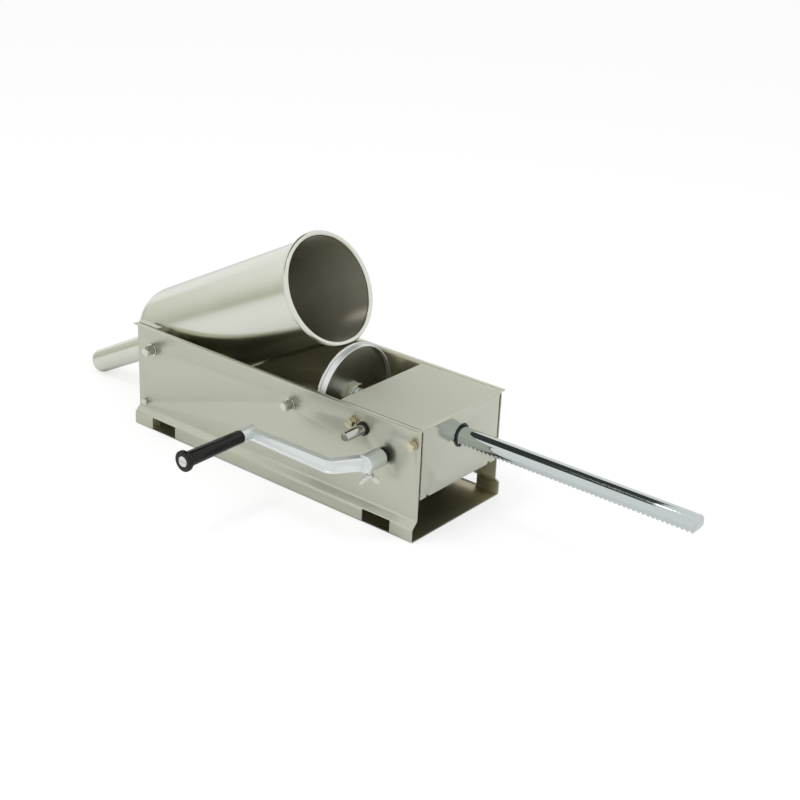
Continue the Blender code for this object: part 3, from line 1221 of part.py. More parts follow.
def cylinder():
    """Cylinder with rolled rim, domed end and neck, its tube and its ring nut."""
    carrier = pivot("cylinder_pivot", (PIVOT_X, 0, PIVOT_HEIGHT), (0, -LOADING_TILT, 0))
    centre = (RIM_REACH, 0, -PIVOT_ABOVE_AXIS)
    outer = BORE_RADIUS + CYLINDER_WALL
    bead = BORE_RADIUS + RIM_BEAD_RADIUS
    meet = math.asin((outer - bead) / RIM_BEAD_RADIUS)
    dome = CYLINDER_LENGTH - DOME_RADIUS
    crown = outer - DOME_RADIUS
    inside = CYLINDER_LENGTH - CYLINDER_WALL
    neck_end = CYLINDER_LENGTH + NECK_LENGTH
    quarter = math.pi / 2
    outline = arc(RIM_BEAD_RADIUS, bead, RIM_BEAD_RADIUS, 3 * quarter, meet, BEAD_STEPS)
    outline += arc(dome, crown, DOME_RADIUS, quarter, 0, DOME_STEPS)
    outline += [
        (CYLINDER_LENGTH, NECK_RADIUS),
        (neck_end, NECK_RADIUS),
        (neck_end, NECK_BORE_RADIUS),
        (inside, NECK_BORE_RADIUS),
    ]
    outline += arc(dome, crown, DOME_RADIUS - CYLINDER_WALL, 0, quarter, DOME_STEPS)
    shell = bmesh.new()
    lathe(shell, outline, ROUND_LARGE, axis=(-1, 0, 0), centre=centre)
    finish("cylinder_shell", shell, "polished_steel", carrier)

    flange = neck_end + FIT_GAP
    flange_end = flange + TUBE_FLANGE_THICKNESS
    tip = flange + TUBE_LENGTH
    tube = bmesh.new()
    lathe(tube, [
        (flange, TUBE_ROOT_RADIUS - TUBE_WALL),
        (flange, TUBE_FLANGE_RADIUS),
        (flange_end, TUBE_FLANGE_RADIUS),
        (flange_end, TUBE_ROOT_RADIUS),
        (tip, TUBE_TIP_RADIUS),
        (tip, TUBE_TIP_RADIUS - TUBE_WALL),
    ], ROUND_WIDE, axis=(-1, 0, 0), centre=centre)
    finish("stuffing_tube", tube, "polished_steel", carrier)

    turning = pivot("tube_nut_pivot", centre, parent=carrier)
    lip = flange_end + FIT_GAP
    nut_end = lip + NUT_LIP
    nut_start = nut_end - NUT_GRIP_LENGTH - NUT_LIP
    nut_bore = NECK_RADIUS + FIT_GAP
    lip_bore = TUBE_ROOT_RADIUS + FIT_GAP
    nut = bmesh.new()
    lathe(nut, [
        (nut_start, nut_bore),
        (nut_start, NUT_OUTER_RADIUS - NUT_EDGE),
        (nut_start + NUT_EDGE, NUT_OUTER_RADIUS),
        (nut_end - NUT_EDGE, NUT_OUTER_RADIUS),
        (nut_end, NUT_OUTER_RADIUS - NUT_EDGE),
        (nut_end, lip_bore),
        (lip, lip_bore),
        (lip, nut_bore),
    ], ROUND_WIDE, axis=(-1, 0, 0))
    body = finish("tube_nut", nut, "polished_steel", turning)
    scallops = bmesh.new()
    reach = NUT_OUTER_RADIUS + NUT_SCALLOP_RADIUS - NUT_SCALLOP_DEPTH
    for i in range(NUT_SCALLOP_COUNT):
        angle = 2 * math.pi * i / NUT_SCALLOP_COUNT
        add_rod(scallops, "x", CUT_OVERRUN - nut_start, -CUT_OVERRUN - nut_end,
                NUT_SCALLOP_RADIUS, (reach * math.cos(angle), reach * math.sin(angle)),
                ROUND_SMALL)
    combine(body, cutter("nut_scallops", scallops, turning))


def main():
    """Build every piece."""
    clear_scene()
    frame_body()
    front_saddle()
    guide_screws()
    cover_bolts()
    saddle_bolts()
    gearbox_cover()
    gearbox_rear_wall()
    cover_face = REAR_X - SHEET - FIT_GAP
    rack_guide("rack_guide_front", cover_face, 1, SHEET / 2 + FIT_GAP)
    rack_guide("rack_guide_rear", WALL_X - FIT_GAP, 1, WALL_SHEET)
    shaft_bushes()
    shaft_bracket()
    piston(rack_bar())
    main_carrier = main_shaft()
    crank_arm(main_carrier)
    grip(main_carrier)
    wing_screw()
    upper_shaft()
    cylinder()


main()
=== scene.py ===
import math

import bmesh
import bpy
from mathutils import Matrix, Vector


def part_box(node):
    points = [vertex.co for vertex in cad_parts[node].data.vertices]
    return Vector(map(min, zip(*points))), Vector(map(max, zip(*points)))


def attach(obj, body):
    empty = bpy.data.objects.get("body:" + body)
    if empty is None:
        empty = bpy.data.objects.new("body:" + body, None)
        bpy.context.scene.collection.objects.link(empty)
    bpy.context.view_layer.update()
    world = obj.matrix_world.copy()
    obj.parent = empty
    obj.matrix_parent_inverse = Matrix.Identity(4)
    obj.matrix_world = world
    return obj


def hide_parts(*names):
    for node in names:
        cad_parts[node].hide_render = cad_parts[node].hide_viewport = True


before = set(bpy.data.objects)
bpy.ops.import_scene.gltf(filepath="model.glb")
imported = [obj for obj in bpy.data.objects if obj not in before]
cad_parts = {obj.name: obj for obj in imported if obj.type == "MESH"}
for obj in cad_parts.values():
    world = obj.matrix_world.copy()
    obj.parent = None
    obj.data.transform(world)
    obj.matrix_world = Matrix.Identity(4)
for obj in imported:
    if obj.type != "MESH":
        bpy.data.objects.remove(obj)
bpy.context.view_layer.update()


# Frame: one long sheet of satin stainless steel, folded up from the base plate into joggled skirts,
# side panels and outward top flanges. Windows for table clamps are cut in both skirts, and round
# holes for the screws and shafts in both panels. It stands on the table on its base plate.
FRAME_LENGTH = 0.4964
FRONT = -FRAME_LENGTH / 2
REAR = FRAME_LENGTH / 2
PANEL_INSIDE = 0.080
SHEET = 0.0015
PANEL_OUTSIDE = PANEL_INSIDE + SHEET
FRAME_TOP = 0.1497
FLANGE = 0.008
SKIRT_STEP = 0.009
SKIRT_TOP = 0.018
FLARE_TOP = 0.0266
FOLD_RADIUS = 0.0022
WINDOW_LENGTH = 0.045
WINDOW_INSET = 0.035
WINDOW_SILL = 0.0022
WINDOW_HEIGHT = 0.0165
AXIS_HEIGHT = 0.1162
OVERRUN = 0.004
GUIDE_SCREW_Z = 0.1168
GUIDE_SCREW_XS = (FRONT + 0.0285, FRONT + 0.2853)
COVER_BOLT_Z = 0.1268
COVER_BOLT_XS = (FRONT + 0.3900, FRONT + 0.4856)
SADDLE_BOLT_X = FRONT + 0.0116
SADDLE_BOLT_Z = 0.0343
MAIN_SHAFT_X = FRONT + 0.4408
MAIN_SHAFT_Z = 0.09838
SHAFT_SPACING = 0.042
UPPER_SHAFT_ANGLE = math.radians(34.5)
UPPER_SHAFT_X = MAIN_SHAFT_X - SHAFT_SPACING * math.cos(UPPER_SHAFT_ANGLE)
UPPER_SHAFT_Z = MAIN_SHAFT_Z + SHAFT_SPACING * math.sin(UPPER_SHAFT_ANGLE)
GUIDE_HOLE = 0.0043
COVER_HOLE = 0.0033
SADDLE_HOLE = 0.0028
PANEL_HOLES = [(x, GUIDE_SCREW_Z, GUIDE_HOLE) for x in GUIDE_SCREW_XS]
PANEL_HOLES += [(x, COVER_BOLT_Z, COVER_HOLE) for x in COVER_BOLT_XS]
PANEL_HOLES += [(SADDLE_BOLT_X, SADDLE_BOLT_Z, SADDLE_HOLE), (MAIN_SHAFT_X, MAIN_SHAFT_Z, 0.0091)]
NEAR_HOLES = [(UPPER_SHAFT_X, UPPER_SHAFT_Z, 0.0084)]
STEEL_GRAIN = (9.0, 900.0, 700.0)
MERGE_DISTANCE = 0.000003


def metal(name, colour, roughness, grain, grain_depth=0.25, smudge=0.10, wear=0.35, scratch=0.0,
          tip=0.0):
    """Bare metal: grain stretched along the longest period, soft smudges and bright worn edges."""
    made = bpy.data.materials.new(name)
    made.use_nodes = True
    nodes = made.node_tree.nodes
    link = made.node_tree.links.new
    shader = nodes["Principled BSDF"]
    shader.inputs["Metallic"].default_value = 1.0
    place = nodes.new("ShaderNodeTexCoord")
    level = nodes.new("ShaderNodeVectorRotate")
    level.rotation_type = "Y_AXIS"
    level.inputs["Angle"].default_value = tip
    link(place.outputs["Object"], level.inputs["Vector"])
    stretch = nodes.new("ShaderNodeMapping")
    stretch.inputs["Scale"].default_value = grain
    link(level.outputs["Vector"], stretch.inputs["Vector"])
    lines = nodes.new("ShaderNodeTexNoise")
    lines.inputs["Scale"].default_value = 1.0
    lines.inputs["Detail"].default_value = 4.0
    lines.inputs["Roughness"].default_value = 0.65
    link(stretch.outputs["Vector"], lines.inputs["Vector"])
    clouds = nodes.new("ShaderNodeTexNoise")
    clouds.inputs["Scale"].default_value = 22.0
    clouds.inputs["Detail"].default_value = 3.0
    link(place.outputs["Object"], clouds.inputs["Vector"])
    spread = nodes.new("ShaderNodeMath")
    spread.operation = "MULTIPLY_ADD"
    spread.inputs[1].default_value = grain_depth * roughness
    link(lines.outputs["Fac"], spread.inputs[0])
    base = nodes.new("ShaderNodeMapRange")
    base.inputs["To Min"].default_value = roughness * (1 - grain_depth / 2 - smudge)
    base.inputs["To Max"].default_value = roughness * (1 - grain_depth / 2 + smudge)
    link(clouds.outputs["Fac"], base.inputs["Value"])
    link(base.outputs["Result"], spread.inputs[2])
    link(spread.outputs["Value"], shader.inputs["Roughness"])
    tone = nodes.new("ShaderNodeMix")
    tone.data_type = "RGBA"
    tone.inputs["A"].default_value = (*[c * 0.95 for c in colour], 1.0)
    tone.inputs["B"].default_value = (*[min(1.0, c * 1.04) for c in colour], 1.0)
    blend = nodes.new("ShaderNodeMath")
    blend.operation = "MULTIPLY_ADD"
    blend.inputs[1].default_value = 0.5
    link(lines.outputs["Fac"], blend.inputs[0])
    half = nodes.new("ShaderNodeMath")
    half.operation = "MULTIPLY"
    half.inputs[1].default_value = 0.5
    link(clouds.outputs["Fac"], half.inputs[0])
    link(half.outputs["Value"], blend.inputs[2])
    link(blend.outputs["Value"], tone.inputs["Factor"])
    edge = nodes.new("ShaderNodeNewGeometry")
    rise = nodes.new("ShaderNodeMapRange")
    rise.inputs["From Min"].default_value = 0.52
    rise.inputs["From Max"].default_value = 0.60
    rise.inputs["To Max"].default_value = wear
    link(edge.outputs["Pointiness"], rise.inputs["Value"])
    worn = nodes.new("ShaderNodeMix")
    worn.data_type = "RGBA"
    worn.inputs["B"].default_value = (*[min(1.0, c * 1.25) for c in colour], 1.0)
    link(rise.outputs["Result"], worn.inputs["Factor"])
    link(tone.outputs["Result"], worn.inputs["A"])
    link(worn.outputs["Result"], shader.inputs["Base Color"])
    bump = nodes.new("ShaderNodeBump")
    bump.inputs["Strength"].default_value = 0.15 + scratch
    bump.inputs["Distance"].default_value = 0.00004
    link(lines.outputs["Fac"], bump.inputs["Height"])
    link(bump.outputs["Normal"], shader.inputs["Normal"])
    return made


satin_steel = metal("satin_steel", (0.53, 0.54, 0.455), 0.33, STEEL_GRAIN)
# Painted shade: tinted copies of the satin steel for faces inside the frame and its floor.
shaded_steel = metal("shaded_steel", (0.70, 0.67, 0.49), 0.42, STEEL_GRAIN)
bed_shade_steel = metal("bed_shade_steel", (0.42, 0.39, 0.28), 0.36, STEEL_GRAIN)


def piece(name, shape, material, smooth=30.0):
    """A bmesh becomes a shown object with its material and smooth round faces."""
    mesh = bpy.data.meshes.new(name)
    shape.to_mesh(mesh)
    shape.free()
    mesh.materials.append(material)
    mesh.shade_smooth()
    mesh.set_sharp_from_angle(angle=math.radians(smooth))
    made = bpy.data.objects.new(name, mesh)
    bpy.context.collection.objects.link(made)
    return made


def settle(made, smooth=30.0):
    """Apply every modifier to the mesh."""
    bpy.context.view_layer.update()
    seen = made.evaluated_get(bpy.context.evaluated_depsgraph_get())
    mesh = bpy.data.meshes.new_from_object(seen)
    made.modifiers.clear()
    made.data = mesh
    mesh.shade_smooth()
    mesh.set_sharp_from_angle(angle=math.radians(smooth))


def carve(made, tool, operation="DIFFERENCE"):
    """Cut a tool's shape out of a piece, or join it on, and drop the tool."""
    cutter = piece(made.name + "_tool", tool, made.data.materials[0])
    change = made.modifiers.new("cut", "BOOLEAN")
    change.operation = operation
    change.solver = "EXACT"
    change.object = cutter
    settle(made)
    bpy.data.objects.remove(cutter, do_unlink=True)


def ease(made, width, segments=2, angle=30.0):
    """Round every sharp edge a little."""
    soft = made.modifiers.new("ease", "BEVEL")
    soft.width = width
    soft.segments = segments
    soft.limit_method = "ANGLE"
    soft.angle_limit = math.radians(angle)
    soft.harden_normals = False
    soft.use_clamp_overlap = True
    settle(made, 40.0)


def block(shape, low, high):
    """Add a box between two corners."""
    size = [abs(b - a) for a, b in zip(low, high)]
    middle = [(a + b) / 2 for a, b in zip(low, high)]
    bmesh.ops.create_cube(shape, size=1.0,
                          matrix=Matrix.Translation(middle) @ Matrix.Diagonal((*size, 1.0)))


def rod(shape, axis, start, end, radius, centre, sides=32):
    """Add a closed rod along x, y or z; centre holds the other two coordinates."""
    middle = (start + end) / 2
    place, turn = {
        "x": ((middle, *centre), Matrix.Rotation(math.pi / 2, 4, "Y")),
        "y": ((centre[0], middle, centre[1]), Matrix.Rotation(math.pi / 2, 4, "X")),
        "z": ((*centre, middle), Matrix.Identity(4)),
    }[axis]
    bmesh.ops.create_cone(shape, cap_ends=True, segments=sides, radius1=radius, radius2=radius,
                          depth=abs(end - start), matrix=Matrix.Translation(place) @ turn)


def fold(name, corners, pull, start, material, thickness, radius=FOLD_RADIUS, segments=6):
    """Folded sheet: a line of corners pulled along, its folds rounded, then thickened."""
    shape = bmesh.new()
    verts = [shape.verts.new(c) for c in corners]
    edges = [shape.edges.new(pair) for pair in zip(verts, verts[1:])]
    bmesh.ops.translate(shape, verts=verts, vec=start)
    pulled = bmesh.ops.extrude_edge_only(shape, edges=edges)
    moved = [v for v in pulled["geom"] if isinstance(v, bmesh.types.BMVert)]
    bmesh.ops.translate(shape, verts=moved, vec=pull)
    creases = [e for e in shape.edges if len(e.link_faces) == 2]
    bmesh.ops.bevel(shape, geom=creases, affect="EDGES", offset=radius, offset_type="OFFSET",
                    segments=segments, profile=0.5, material=-1)
    bmesh.ops.recalc_face_normals(shape, faces=shape.faces)
    made = piece(name, shape, material)
    wall = made.modifiers.new("wall", "SOLIDIFY")
    wall.thickness = thickness
    wall.offset = 0.0
    wall.use_even_offset = True
    settle(made)
    return made


middle = SHEET / 2
side = PANEL_INSIDE + middle
half_section = [
    (side + SKIRT_STEP, middle),
    (side + SKIRT_STEP, SKIRT_TOP),
    (side, FLARE_TOP),
    (side, FRAME_TOP - middle),
    (side + FLANGE, FRAME_TOP - middle),
]
section = [(0, -y, z) for y, z in reversed(half_section)] + [(0, y, z) for y, z in half_section]
frame_body = fold("frame_body_fine", section, (FRAME_LENGTH, 0, 0), (FRONT, 0, 0), satin_steel,
                  SHEET)
windows = bmesh.new()
for sign in (-1, 1):
    for start in (WINDOW_INSET, FRAME_LENGTH - WINDOW_INSET - WINDOW_LENGTH):
        block(windows, (FRONT + start, sign * PANEL_OUTSIDE, WINDOW_SILL),
              (FRONT + start + WINDOW_LENGTH, sign * (PANEL_OUTSIDE + SKIRT_STEP + OVERRUN),
               WINDOW_SILL + WINDOW_HEIGHT))
    for x, z, radius in PANEL_HOLES + (NEAR_HOLES if sign < 0 else []):
        rod(windows, "y", sign * (PANEL_INSIDE - OVERRUN), sign * (PANEL_OUTSIDE + OVERRUN),
            radius, (x, z))
carve(frame_body, windows)
ease(frame_body, 0.00025)
GAP_FLOOR = 0.0005
frame_body.data.materials.append(shaded_steel)
frame_body.data.materials.append(bed_shade_steel)
# Painted shade: the floor between the skirts gets the darker copy, inner faces the warmer one.
for face in frame_body.data.polygons:
    if face.normal.z > 0.5 and face.center.z < SHEET + GAP_FLOOR:
        face.material_index = 2
    elif face.center.y * face.normal.y < -PANEL_INSIDE / 2:
        face.material_index = 1
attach(frame_body, "frame")
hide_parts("frame_body")


# Front saddle: a second folded sheet inside the front end. Its deep round seat carries the
# cylinder, its wings lie inside the panels under two screws each, and two tabs close its top.
SADDLE_DEPTH = 0.038
SEAT_RADIUS = 0.0706
SEAT_DROP = 0.0044
LIP_DEPTH = 0.020
LIP_HALF = 0.055
GAP = 0.0003

saddle_half = PANEL_INSIDE - GAP - SHEET / 2
saddle_line = [(SADDLE_DEPTH, -saddle_half, 0), (SHEET / 2, -saddle_half, 0),
               (SHEET / 2, saddle_half, 0), (SADDLE_DEPTH, saddle_half, 0)]
floor_z = SHEET + GAP
saddle = fold("front_saddle_fine", saddle_line, (0, 0, FRAME_TOP - SHEET / 2 - floor_z),
              (FRONT, 0, floor_z), satin_steel, SHEET)
tabs = bmesh.new()
for sign in (-1, 1):
    block(tabs, (FRONT, sign * SEAT_RADIUS, FRAME_TOP - SHEET),
          (FRONT + SADDLE_DEPTH, sign * (PANEL_INSIDE - GAP), FRAME_TOP))
block(tabs, (FRONT + SHEET / 2, -LIP_HALF, floor_z), (FRONT + LIP_DEPTH, LIP_HALF, floor_z + SHEET))
carve(saddle, tabs, "UNION")
seat = bmesh.new()
rod(seat, "x", FRONT - OVERRUN, FRONT + SADDLE_DEPTH + OVERRUN, SEAT_RADIUS,
    (0, AXIS_HEIGHT - SEAT_DROP), 128)
carve(saddle, seat)
mouth = bmesh.new()
block(mouth, (FRONT - OVERRUN, -SEAT_RADIUS, AXIS_HEIGHT - SEAT_DROP),
      (FRONT + SADDLE_DEPTH + OVERRUN, SEAT_RADIUS, FRAME_TOP + OVERRUN))
for sign in (-1, 1):
    for x, z, radius in ((GUIDE_SCREW_XS[0], GUIDE_SCREW_Z, GUIDE_HOLE),
                         (SADDLE_BOLT_X, SADDLE_BOLT_Z, SADDLE_HOLE)):
        rod(mouth, "y", sign * (PANEL_INSIDE - OVERRUN), sign * (PANEL_INSIDE + OVERRUN), radius,
            (x, z))
carve(saddle, mouth)
ease(saddle, 0.00025)
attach(saddle, "frame")
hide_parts("front_saddle")


# Gearbox: a cover folded down at its front and sides and bolted between the panels, a rear wall
# bolted on the same screws, and the angle on that wall that carries the upper shaft's inner end.
# The cover's top is matt, its front smoother, so the rack shows in it.
GEARBOX_LENGTH = 0.1275
COVER_INSET = 0.0030
COVER_BOTTOM = 0.0545
NOTCH_DEPTH = 0.0030
NOTCH_WIDTH = 0.0050
COVER_LIP_HALF = 0.060
COVER_LIP_DEPTH = 0.012
SIDE_DROP = 0.066
SIDE_RELIEF = 0.004
RACK_HOLE_RADIUS = 0.0155

cover_half = PANEL_INSIDE - GAP
cover_front = REAR - SHEET / 2
cover_top = FRAME_TOP - SHEET / 2
wall_x = REAR - GEARBOX_LENGTH
cover_line = [(wall_x, -cover_half, cover_top), (cover_front, -cover_half, cover_top),
              (cover_front, -cover_half, COVER_BOTTOM)]
# Painted light: the cover's top is a lighter tone of the steel than its front.
cover_steel = metal("cover_steel", (0.61, 0.62, 0.535), 0.72, STEEL_GRAIN, wear=0.2)
front_steel = metal("front_steel", (0.52, 0.53, 0.45), 0.15, (700.0, 9.0, 700.0), wear=0.2)
cover = fold("gearbox_cover_fine", cover_line, (0, 2 * cover_half, 0), (0, 0, 0), cover_steel,
             SHEET)
slots = bmesh.new()
for sign in (-1, 1):
    block(slots, (REAR - SIDE_RELIEF, sign * (cover_half - COVER_INSET), COVER_BOTTOM - OVERRUN),
          (REAR + OVERRUN, sign * (cover_half + OVERRUN), FRAME_TOP - SHEET - FOLD_RADIUS))
    block(slots, (cover_front - OVERRUN, sign * COVER_LIP_HALF, COVER_BOTTOM - OVERRUN),
          (cover_front + OVERRUN, sign * (COVER_LIP_HALF + NOTCH_WIDTH),
           COVER_BOTTOM + NOTCH_DEPTH))
rod(slots, "x", cover_front - OVERRUN, cover_front + OVERRUN, RACK_HOLE_RADIUS, (0, AXIS_HEIGHT),
    64)
carve(cover, slots)
folds = bmesh.new()
for sign in (-1, 1):
    block(folds, (wall_x, sign * cover_half, FRAME_TOP - SIDE_DROP),
          (REAR - SIDE_RELIEF - GAP, sign * (cover_half - SHEET), cover_top))
block(folds, (REAR - COVER_LIP_DEPTH, -COVER_LIP_HALF, COVER_BOTTOM),
      (cover_front, COVER_LIP_HALF, COVER_BOTTOM + SHEET))
carve(cover, folds, "UNION")
holes = bmesh.new()
for sign in (-1, 1):
    for x, z, radius in PANEL_HOLES[2:4] + PANEL_HOLES[5:] + (NEAR_HOLES if sign < 0 else []):
        rod(holes, "y", sign * (cover_half - SHEET - OVERRUN), sign * (cover_half + OVERRUN),
            radius, (x, z))
carve(cover, holes)
ease(cover, 0.0002)
cover.data.materials.append(front_steel)
for face in cover.data.polygons:
    if face.normal.x > 0.9:
        face.material_index = 1
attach(cover, "frame")
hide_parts("gearbox_cover")


def dress(node, body, material):
    """Dress a hidden piece in a merged, cleaned copy of its CAD mesh."""
    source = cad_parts[node]
    shape = bmesh.new()
    shape.from_mesh(source.data)
    bmesh.ops.transform(shape, matrix=source.matrix_world, verts=shape.verts)
    bmesh.ops.remove_doubles(shape, verts=shape.verts, dist=MERGE_DISTANCE)
    bmesh.ops.dissolve_limit(shape, angle_limit=math.radians(0.5), verts=shape.verts,
                             edges=shape.edges)
    bmesh.ops.recalc_face_normals(shape, faces=shape.faces)
    made = piece(node + "_dressed", shape, material, 35.0)
    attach(made, body)
    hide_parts(node)


# Painted shade: parts inside the gearbox wear the warmer copy of the satin steel.
for node in ("gearbox_rear_wall", "shaft_bracket"):
    dress(node, "frame", shaded_steel)


# Bushes and rack guides: bushes pressed into the panels and the bracket, coloured near black as
# painted shade, and black nylon guides in the cover's front and the rear wall. Their flanges show
# as dark rings round the shafts and the rack.
def moulded(name, colour, roughness, fleck):
    """Plastic with a fine speckle in its gloss and a soft uneven surface."""
    made = bpy.data.materials.new(name)
    made.use_nodes = True
    nodes = made.node_tree.nodes
    link = made.node_tree.links.new
    shader = nodes["Principled BSDF"]
    place = nodes.new("ShaderNodeTexCoord")
    speckle = nodes.new("ShaderNodeTexNoise")
    speckle.inputs["Scale"].default_value = fleck
    speckle.inputs["Detail"].default_value = 5.0
    link(place.outputs["Object"], speckle.inputs["Vector"])
    gloss = nodes.new("ShaderNodeMapRange")
    gloss.inputs["To Min"].default_value = roughness * 0.8
    gloss.inputs["To Max"].default_value = roughness * 1.25
    link(speckle.outputs["Fac"], gloss.inputs["Value"])
    link(gloss.outputs["Result"], shader.inputs["Roughness"])
    tone = nodes.new("ShaderNodeMix")
    tone.data_type = "RGBA"
    tone.inputs["A"].default_value = (*[c * 0.9 for c in colour], 1.0)
    tone.inputs["B"].default_value = (*[min(1.0, c * 1.15) for c in colour], 1.0)
    link(speckle.outputs["Fac"], tone.inputs["Factor"])
    edge = nodes.new("ShaderNodeNewGeometry")
    rise = nodes.new("ShaderNodeMapRange")
    rise.inputs["From Min"].default_value = 0.52
    rise.inputs["From Max"].default_value = 0.62
    rise.inputs["To Max"].default_value = 0.3
    link(edge.outputs["Pointiness"], rise.inputs["Value"])
    worn = nodes.new("ShaderNodeMix")
    worn.data_type = "RGBA"
    worn.inputs["B"].default_value = (*[min(1.0, c * 1.3 + 0.02) for c in colour], 1.0)
    link(rise.outputs["Result"], worn.inputs["Factor"])
    link(tone.outputs["Result"], worn.inputs["A"])
    link(worn.outputs["Result"], shader.inputs["Base Color"])
    bump = nodes.new("ShaderNodeBump")
    bump.inputs["Strength"].default_value = 0.1
    bump.inputs["Distance"].default_value = 0.00005
    link(speckle.outputs["Fac"], bump.inputs["Height"])
    link(bump.outputs["Normal"], shader.inputs["Normal"])
    return made


black_nylon = moulded("black_nylon", (0.018, 0.018, 0.018), 0.45, 900.0)
# Painted shade: the bushes' near-black tone stands in for the shade in the gaps round the shafts.
bush_shade_metal = metal("bush_shade_metal", (0.045, 0.042, 0.036), 0.40, (400.0, 400.0, 400.0))


def turned(name, points, axis, centre, sides, material):
    """A turning: a closed outline of (along, radius) points spun about an axis."""
    shape = bmesh.new()
    axis = Vector(axis)
    across = Vector((1, 0, 0)) if abs(axis.z) > 0.5 else Vector((0, 0, 1))
    verts = [shape.verts.new(Vector(centre) + axis * s + across * r) for s, r in points]
    edges = [shape.edges.new(pair) for pair in zip(verts, verts[1:])]
    if points[0][1] > 0:
        edges.append(shape.edges.new((verts[-1], verts[0])))
    bmesh.ops.spin(shape, geom=verts + edges, cent=centre, axis=axis, angle=2 * math.pi,
                   steps=sides, use_merge=True)
    bmesh.ops.remove_doubles(shape, verts=shape.verts, dist=MERGE_DISTANCE)
    bmesh.ops.recalc_face_normals(shape, faces=shape.faces)
    return piece(name, shape, material)


MAIN_SHAFT_RADIUS = 0.0070
UPPER_SHAFT_RADIUS = 0.0063
BUSH_WALL = 0.0018
BUSH_OVERHANG = 0.0006
BUSH_FLANGE = 0.0016
BUSH_LENGTH = 0.0110
BRACKET_NEAR = -0.0160
bush_face = PANEL_OUTSIDE + GAP + BUSH_FLANGE
for node, start, direction, place, radius, length in (
        ("main_bush_near", -bush_face, 1, (MAIN_SHAFT_X, MAIN_SHAFT_Z), MAIN_SHAFT_RADIUS,
         BUSH_LENGTH),
        ("main_bush_far", bush_face, -1, (MAIN_SHAFT_X, MAIN_SHAFT_Z), MAIN_SHAFT_RADIUS,
         BUSH_LENGTH),
        ("upper_bush_near", -bush_face, 1, (UPPER_SHAFT_X, UPPER_SHAFT_Z), UPPER_SHAFT_RADIUS,
         BUSH_LENGTH),
        ("upper_bush_inner", BRACKET_NEAR - GAP - BUSH_FLANGE, 1, (UPPER_SHAFT_X, UPPER_SHAFT_Z),
         UPPER_SHAFT_RADIUS, 0.0025 + GAP)):
    barrel = radius + BUSH_WALL
    flange = barrel + BUSH_OVERHANG
    edge = GAP
    made = turned(node + "_fine",
                  [(edge, radius + GAP), (0, radius + GAP + edge), (0, flange - edge),
                   (edge, flange), (BUSH_FLANGE - edge, flange), (BUSH_FLANGE, flange - edge),
                   (BUSH_FLANGE, barrel), (BUSH_FLANGE + length, barrel),
                   (BUSH_FLANGE + length, radius + GAP)],
                  (0, direction, 0), (place[0], start, place[1]), 64, bush_shade_metal)
    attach(made, "frame")
    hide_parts(node)

GUIDE_BORE = 0.0124
GUIDE_FLANGE_RADIUS = 0.0205
GUIDE_FLANGE = 0.0040
for node, axis in (("rack_guide_front", -1), ("rack_guide_rear", 1)):
    low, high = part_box(node)
    length = high[0] - low[0]
    face = high[0] - GUIDE_FLANGE if axis < 0 else low[0] + GUIDE_FLANGE
    edge = 0.0006
    made = turned(node + "_fine",
                  [(-GUIDE_FLANGE, GUIDE_BORE + edge), (-GUIDE_FLANGE, GUIDE_FLANGE_RADIUS - edge),
                   (edge - GUIDE_FLANGE, GUIDE_FLANGE_RADIUS), (0, GUIDE_FLANGE_RADIUS),
                   (0, RACK_HOLE_RADIUS - GAP), (length - GUIDE_FLANGE, RACK_HOLE_RADIUS - GAP),
                   (length - GUIDE_FLANGE, GUIDE_BORE), (edge - GUIDE_FLANGE, GUIDE_BORE)],
                  (axis, 0, 0), (face, 0, AXIS_HEIGHT), 96, black_nylon)
    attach(made, "frame")
    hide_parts(node)


# Screws: four guide screws with lock nuts and washers, four cover bolts with washers and inner
# nuts, and two small saddle bolts. All are bright plated hexagons; the cover bolts are yellower.
bright_plate = metal("bright_plate", (0.63, 0.66, 0.60), 0.18, (700.0, 700.0, 700.0), wear=0.6,
                     scratch=0.5)
nut_plate = metal("nut_plate", (0.34, 0.33, 0.27), 0.22, (400.0, 400.0, 400.0), wear=0.8)
yellow_plate = metal("yellow_plate", (0.62, 0.58, 0.42), 0.30, (400.0, 400.0, 400.0), wear=0.5)


def hexagon(name, side_sign, start, end, width, place, material, bore=0.0):
    """Chamfered hexagon along Y on one side; its outer face is rounded off where it is a head."""
    shape = bmesh.new()
    radius = width / math.sqrt(3)
    rod(shape, "y", side_sign * start, side_sign * end, radius, place, 6)
    made = piece(name, shape, material)
    limit = bmesh.new()
    chamfer = radius - width / 2 * 0.94
    ends = [(start, width / 2 * 0.94 if bore else radius * 1.05),
            (start + chamfer * 0.45, radius * 1.02), (end - chamfer * 0.45, radius * 1.02),
            (end, width / 2 * 0.94)]
    points = [(start, 0)] + ends + [(end, 0)]
    verts = [limit.verts.new((place[0], side_sign * s, place[1] + r)) for s, r in points]
    edges = [limit.edges.new(pair) for pair in zip(verts, verts[1:])]
    bmesh.ops.spin(limit, geom=verts + edges, cent=(place[0], 0, place[1]), axis=(0, 1, 0),
                   angle=2 * math.pi, steps=48, use_merge=True)
    bmesh.ops.remove_doubles(limit, verts=limit.verts, dist=MERGE_DISTANCE)
    bmesh.ops.recalc_face_normals(limit, faces=limit.faces)
    carve(made, limit, "INTERSECT")
    if bore:
        hole = bmesh.new()
        rod(hole, "y", side_sign * (start - OVERRUN), side_sign * (end + OVERRUN), bore, place)
        carve(made, hole)
    ease(made, 0.00015)
    return made


def washer(node, side_sign, start, thickness, bore, outer, place, material):
    """Flat punched washer with rolled edges."""
    edge = thickness / 5
    made = turned(node + "_fine",
                  [(start, bore), (start, outer - edge), (start + edge, outer),
                   (start + thickness - edge, outer), (start + thickness, outer - edge),
                   (start + thickness, bore)],
                  (0, side_sign, 0), (place[0], 0, place[1]), 48, material)
    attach(made, "frame")
    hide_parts(node)


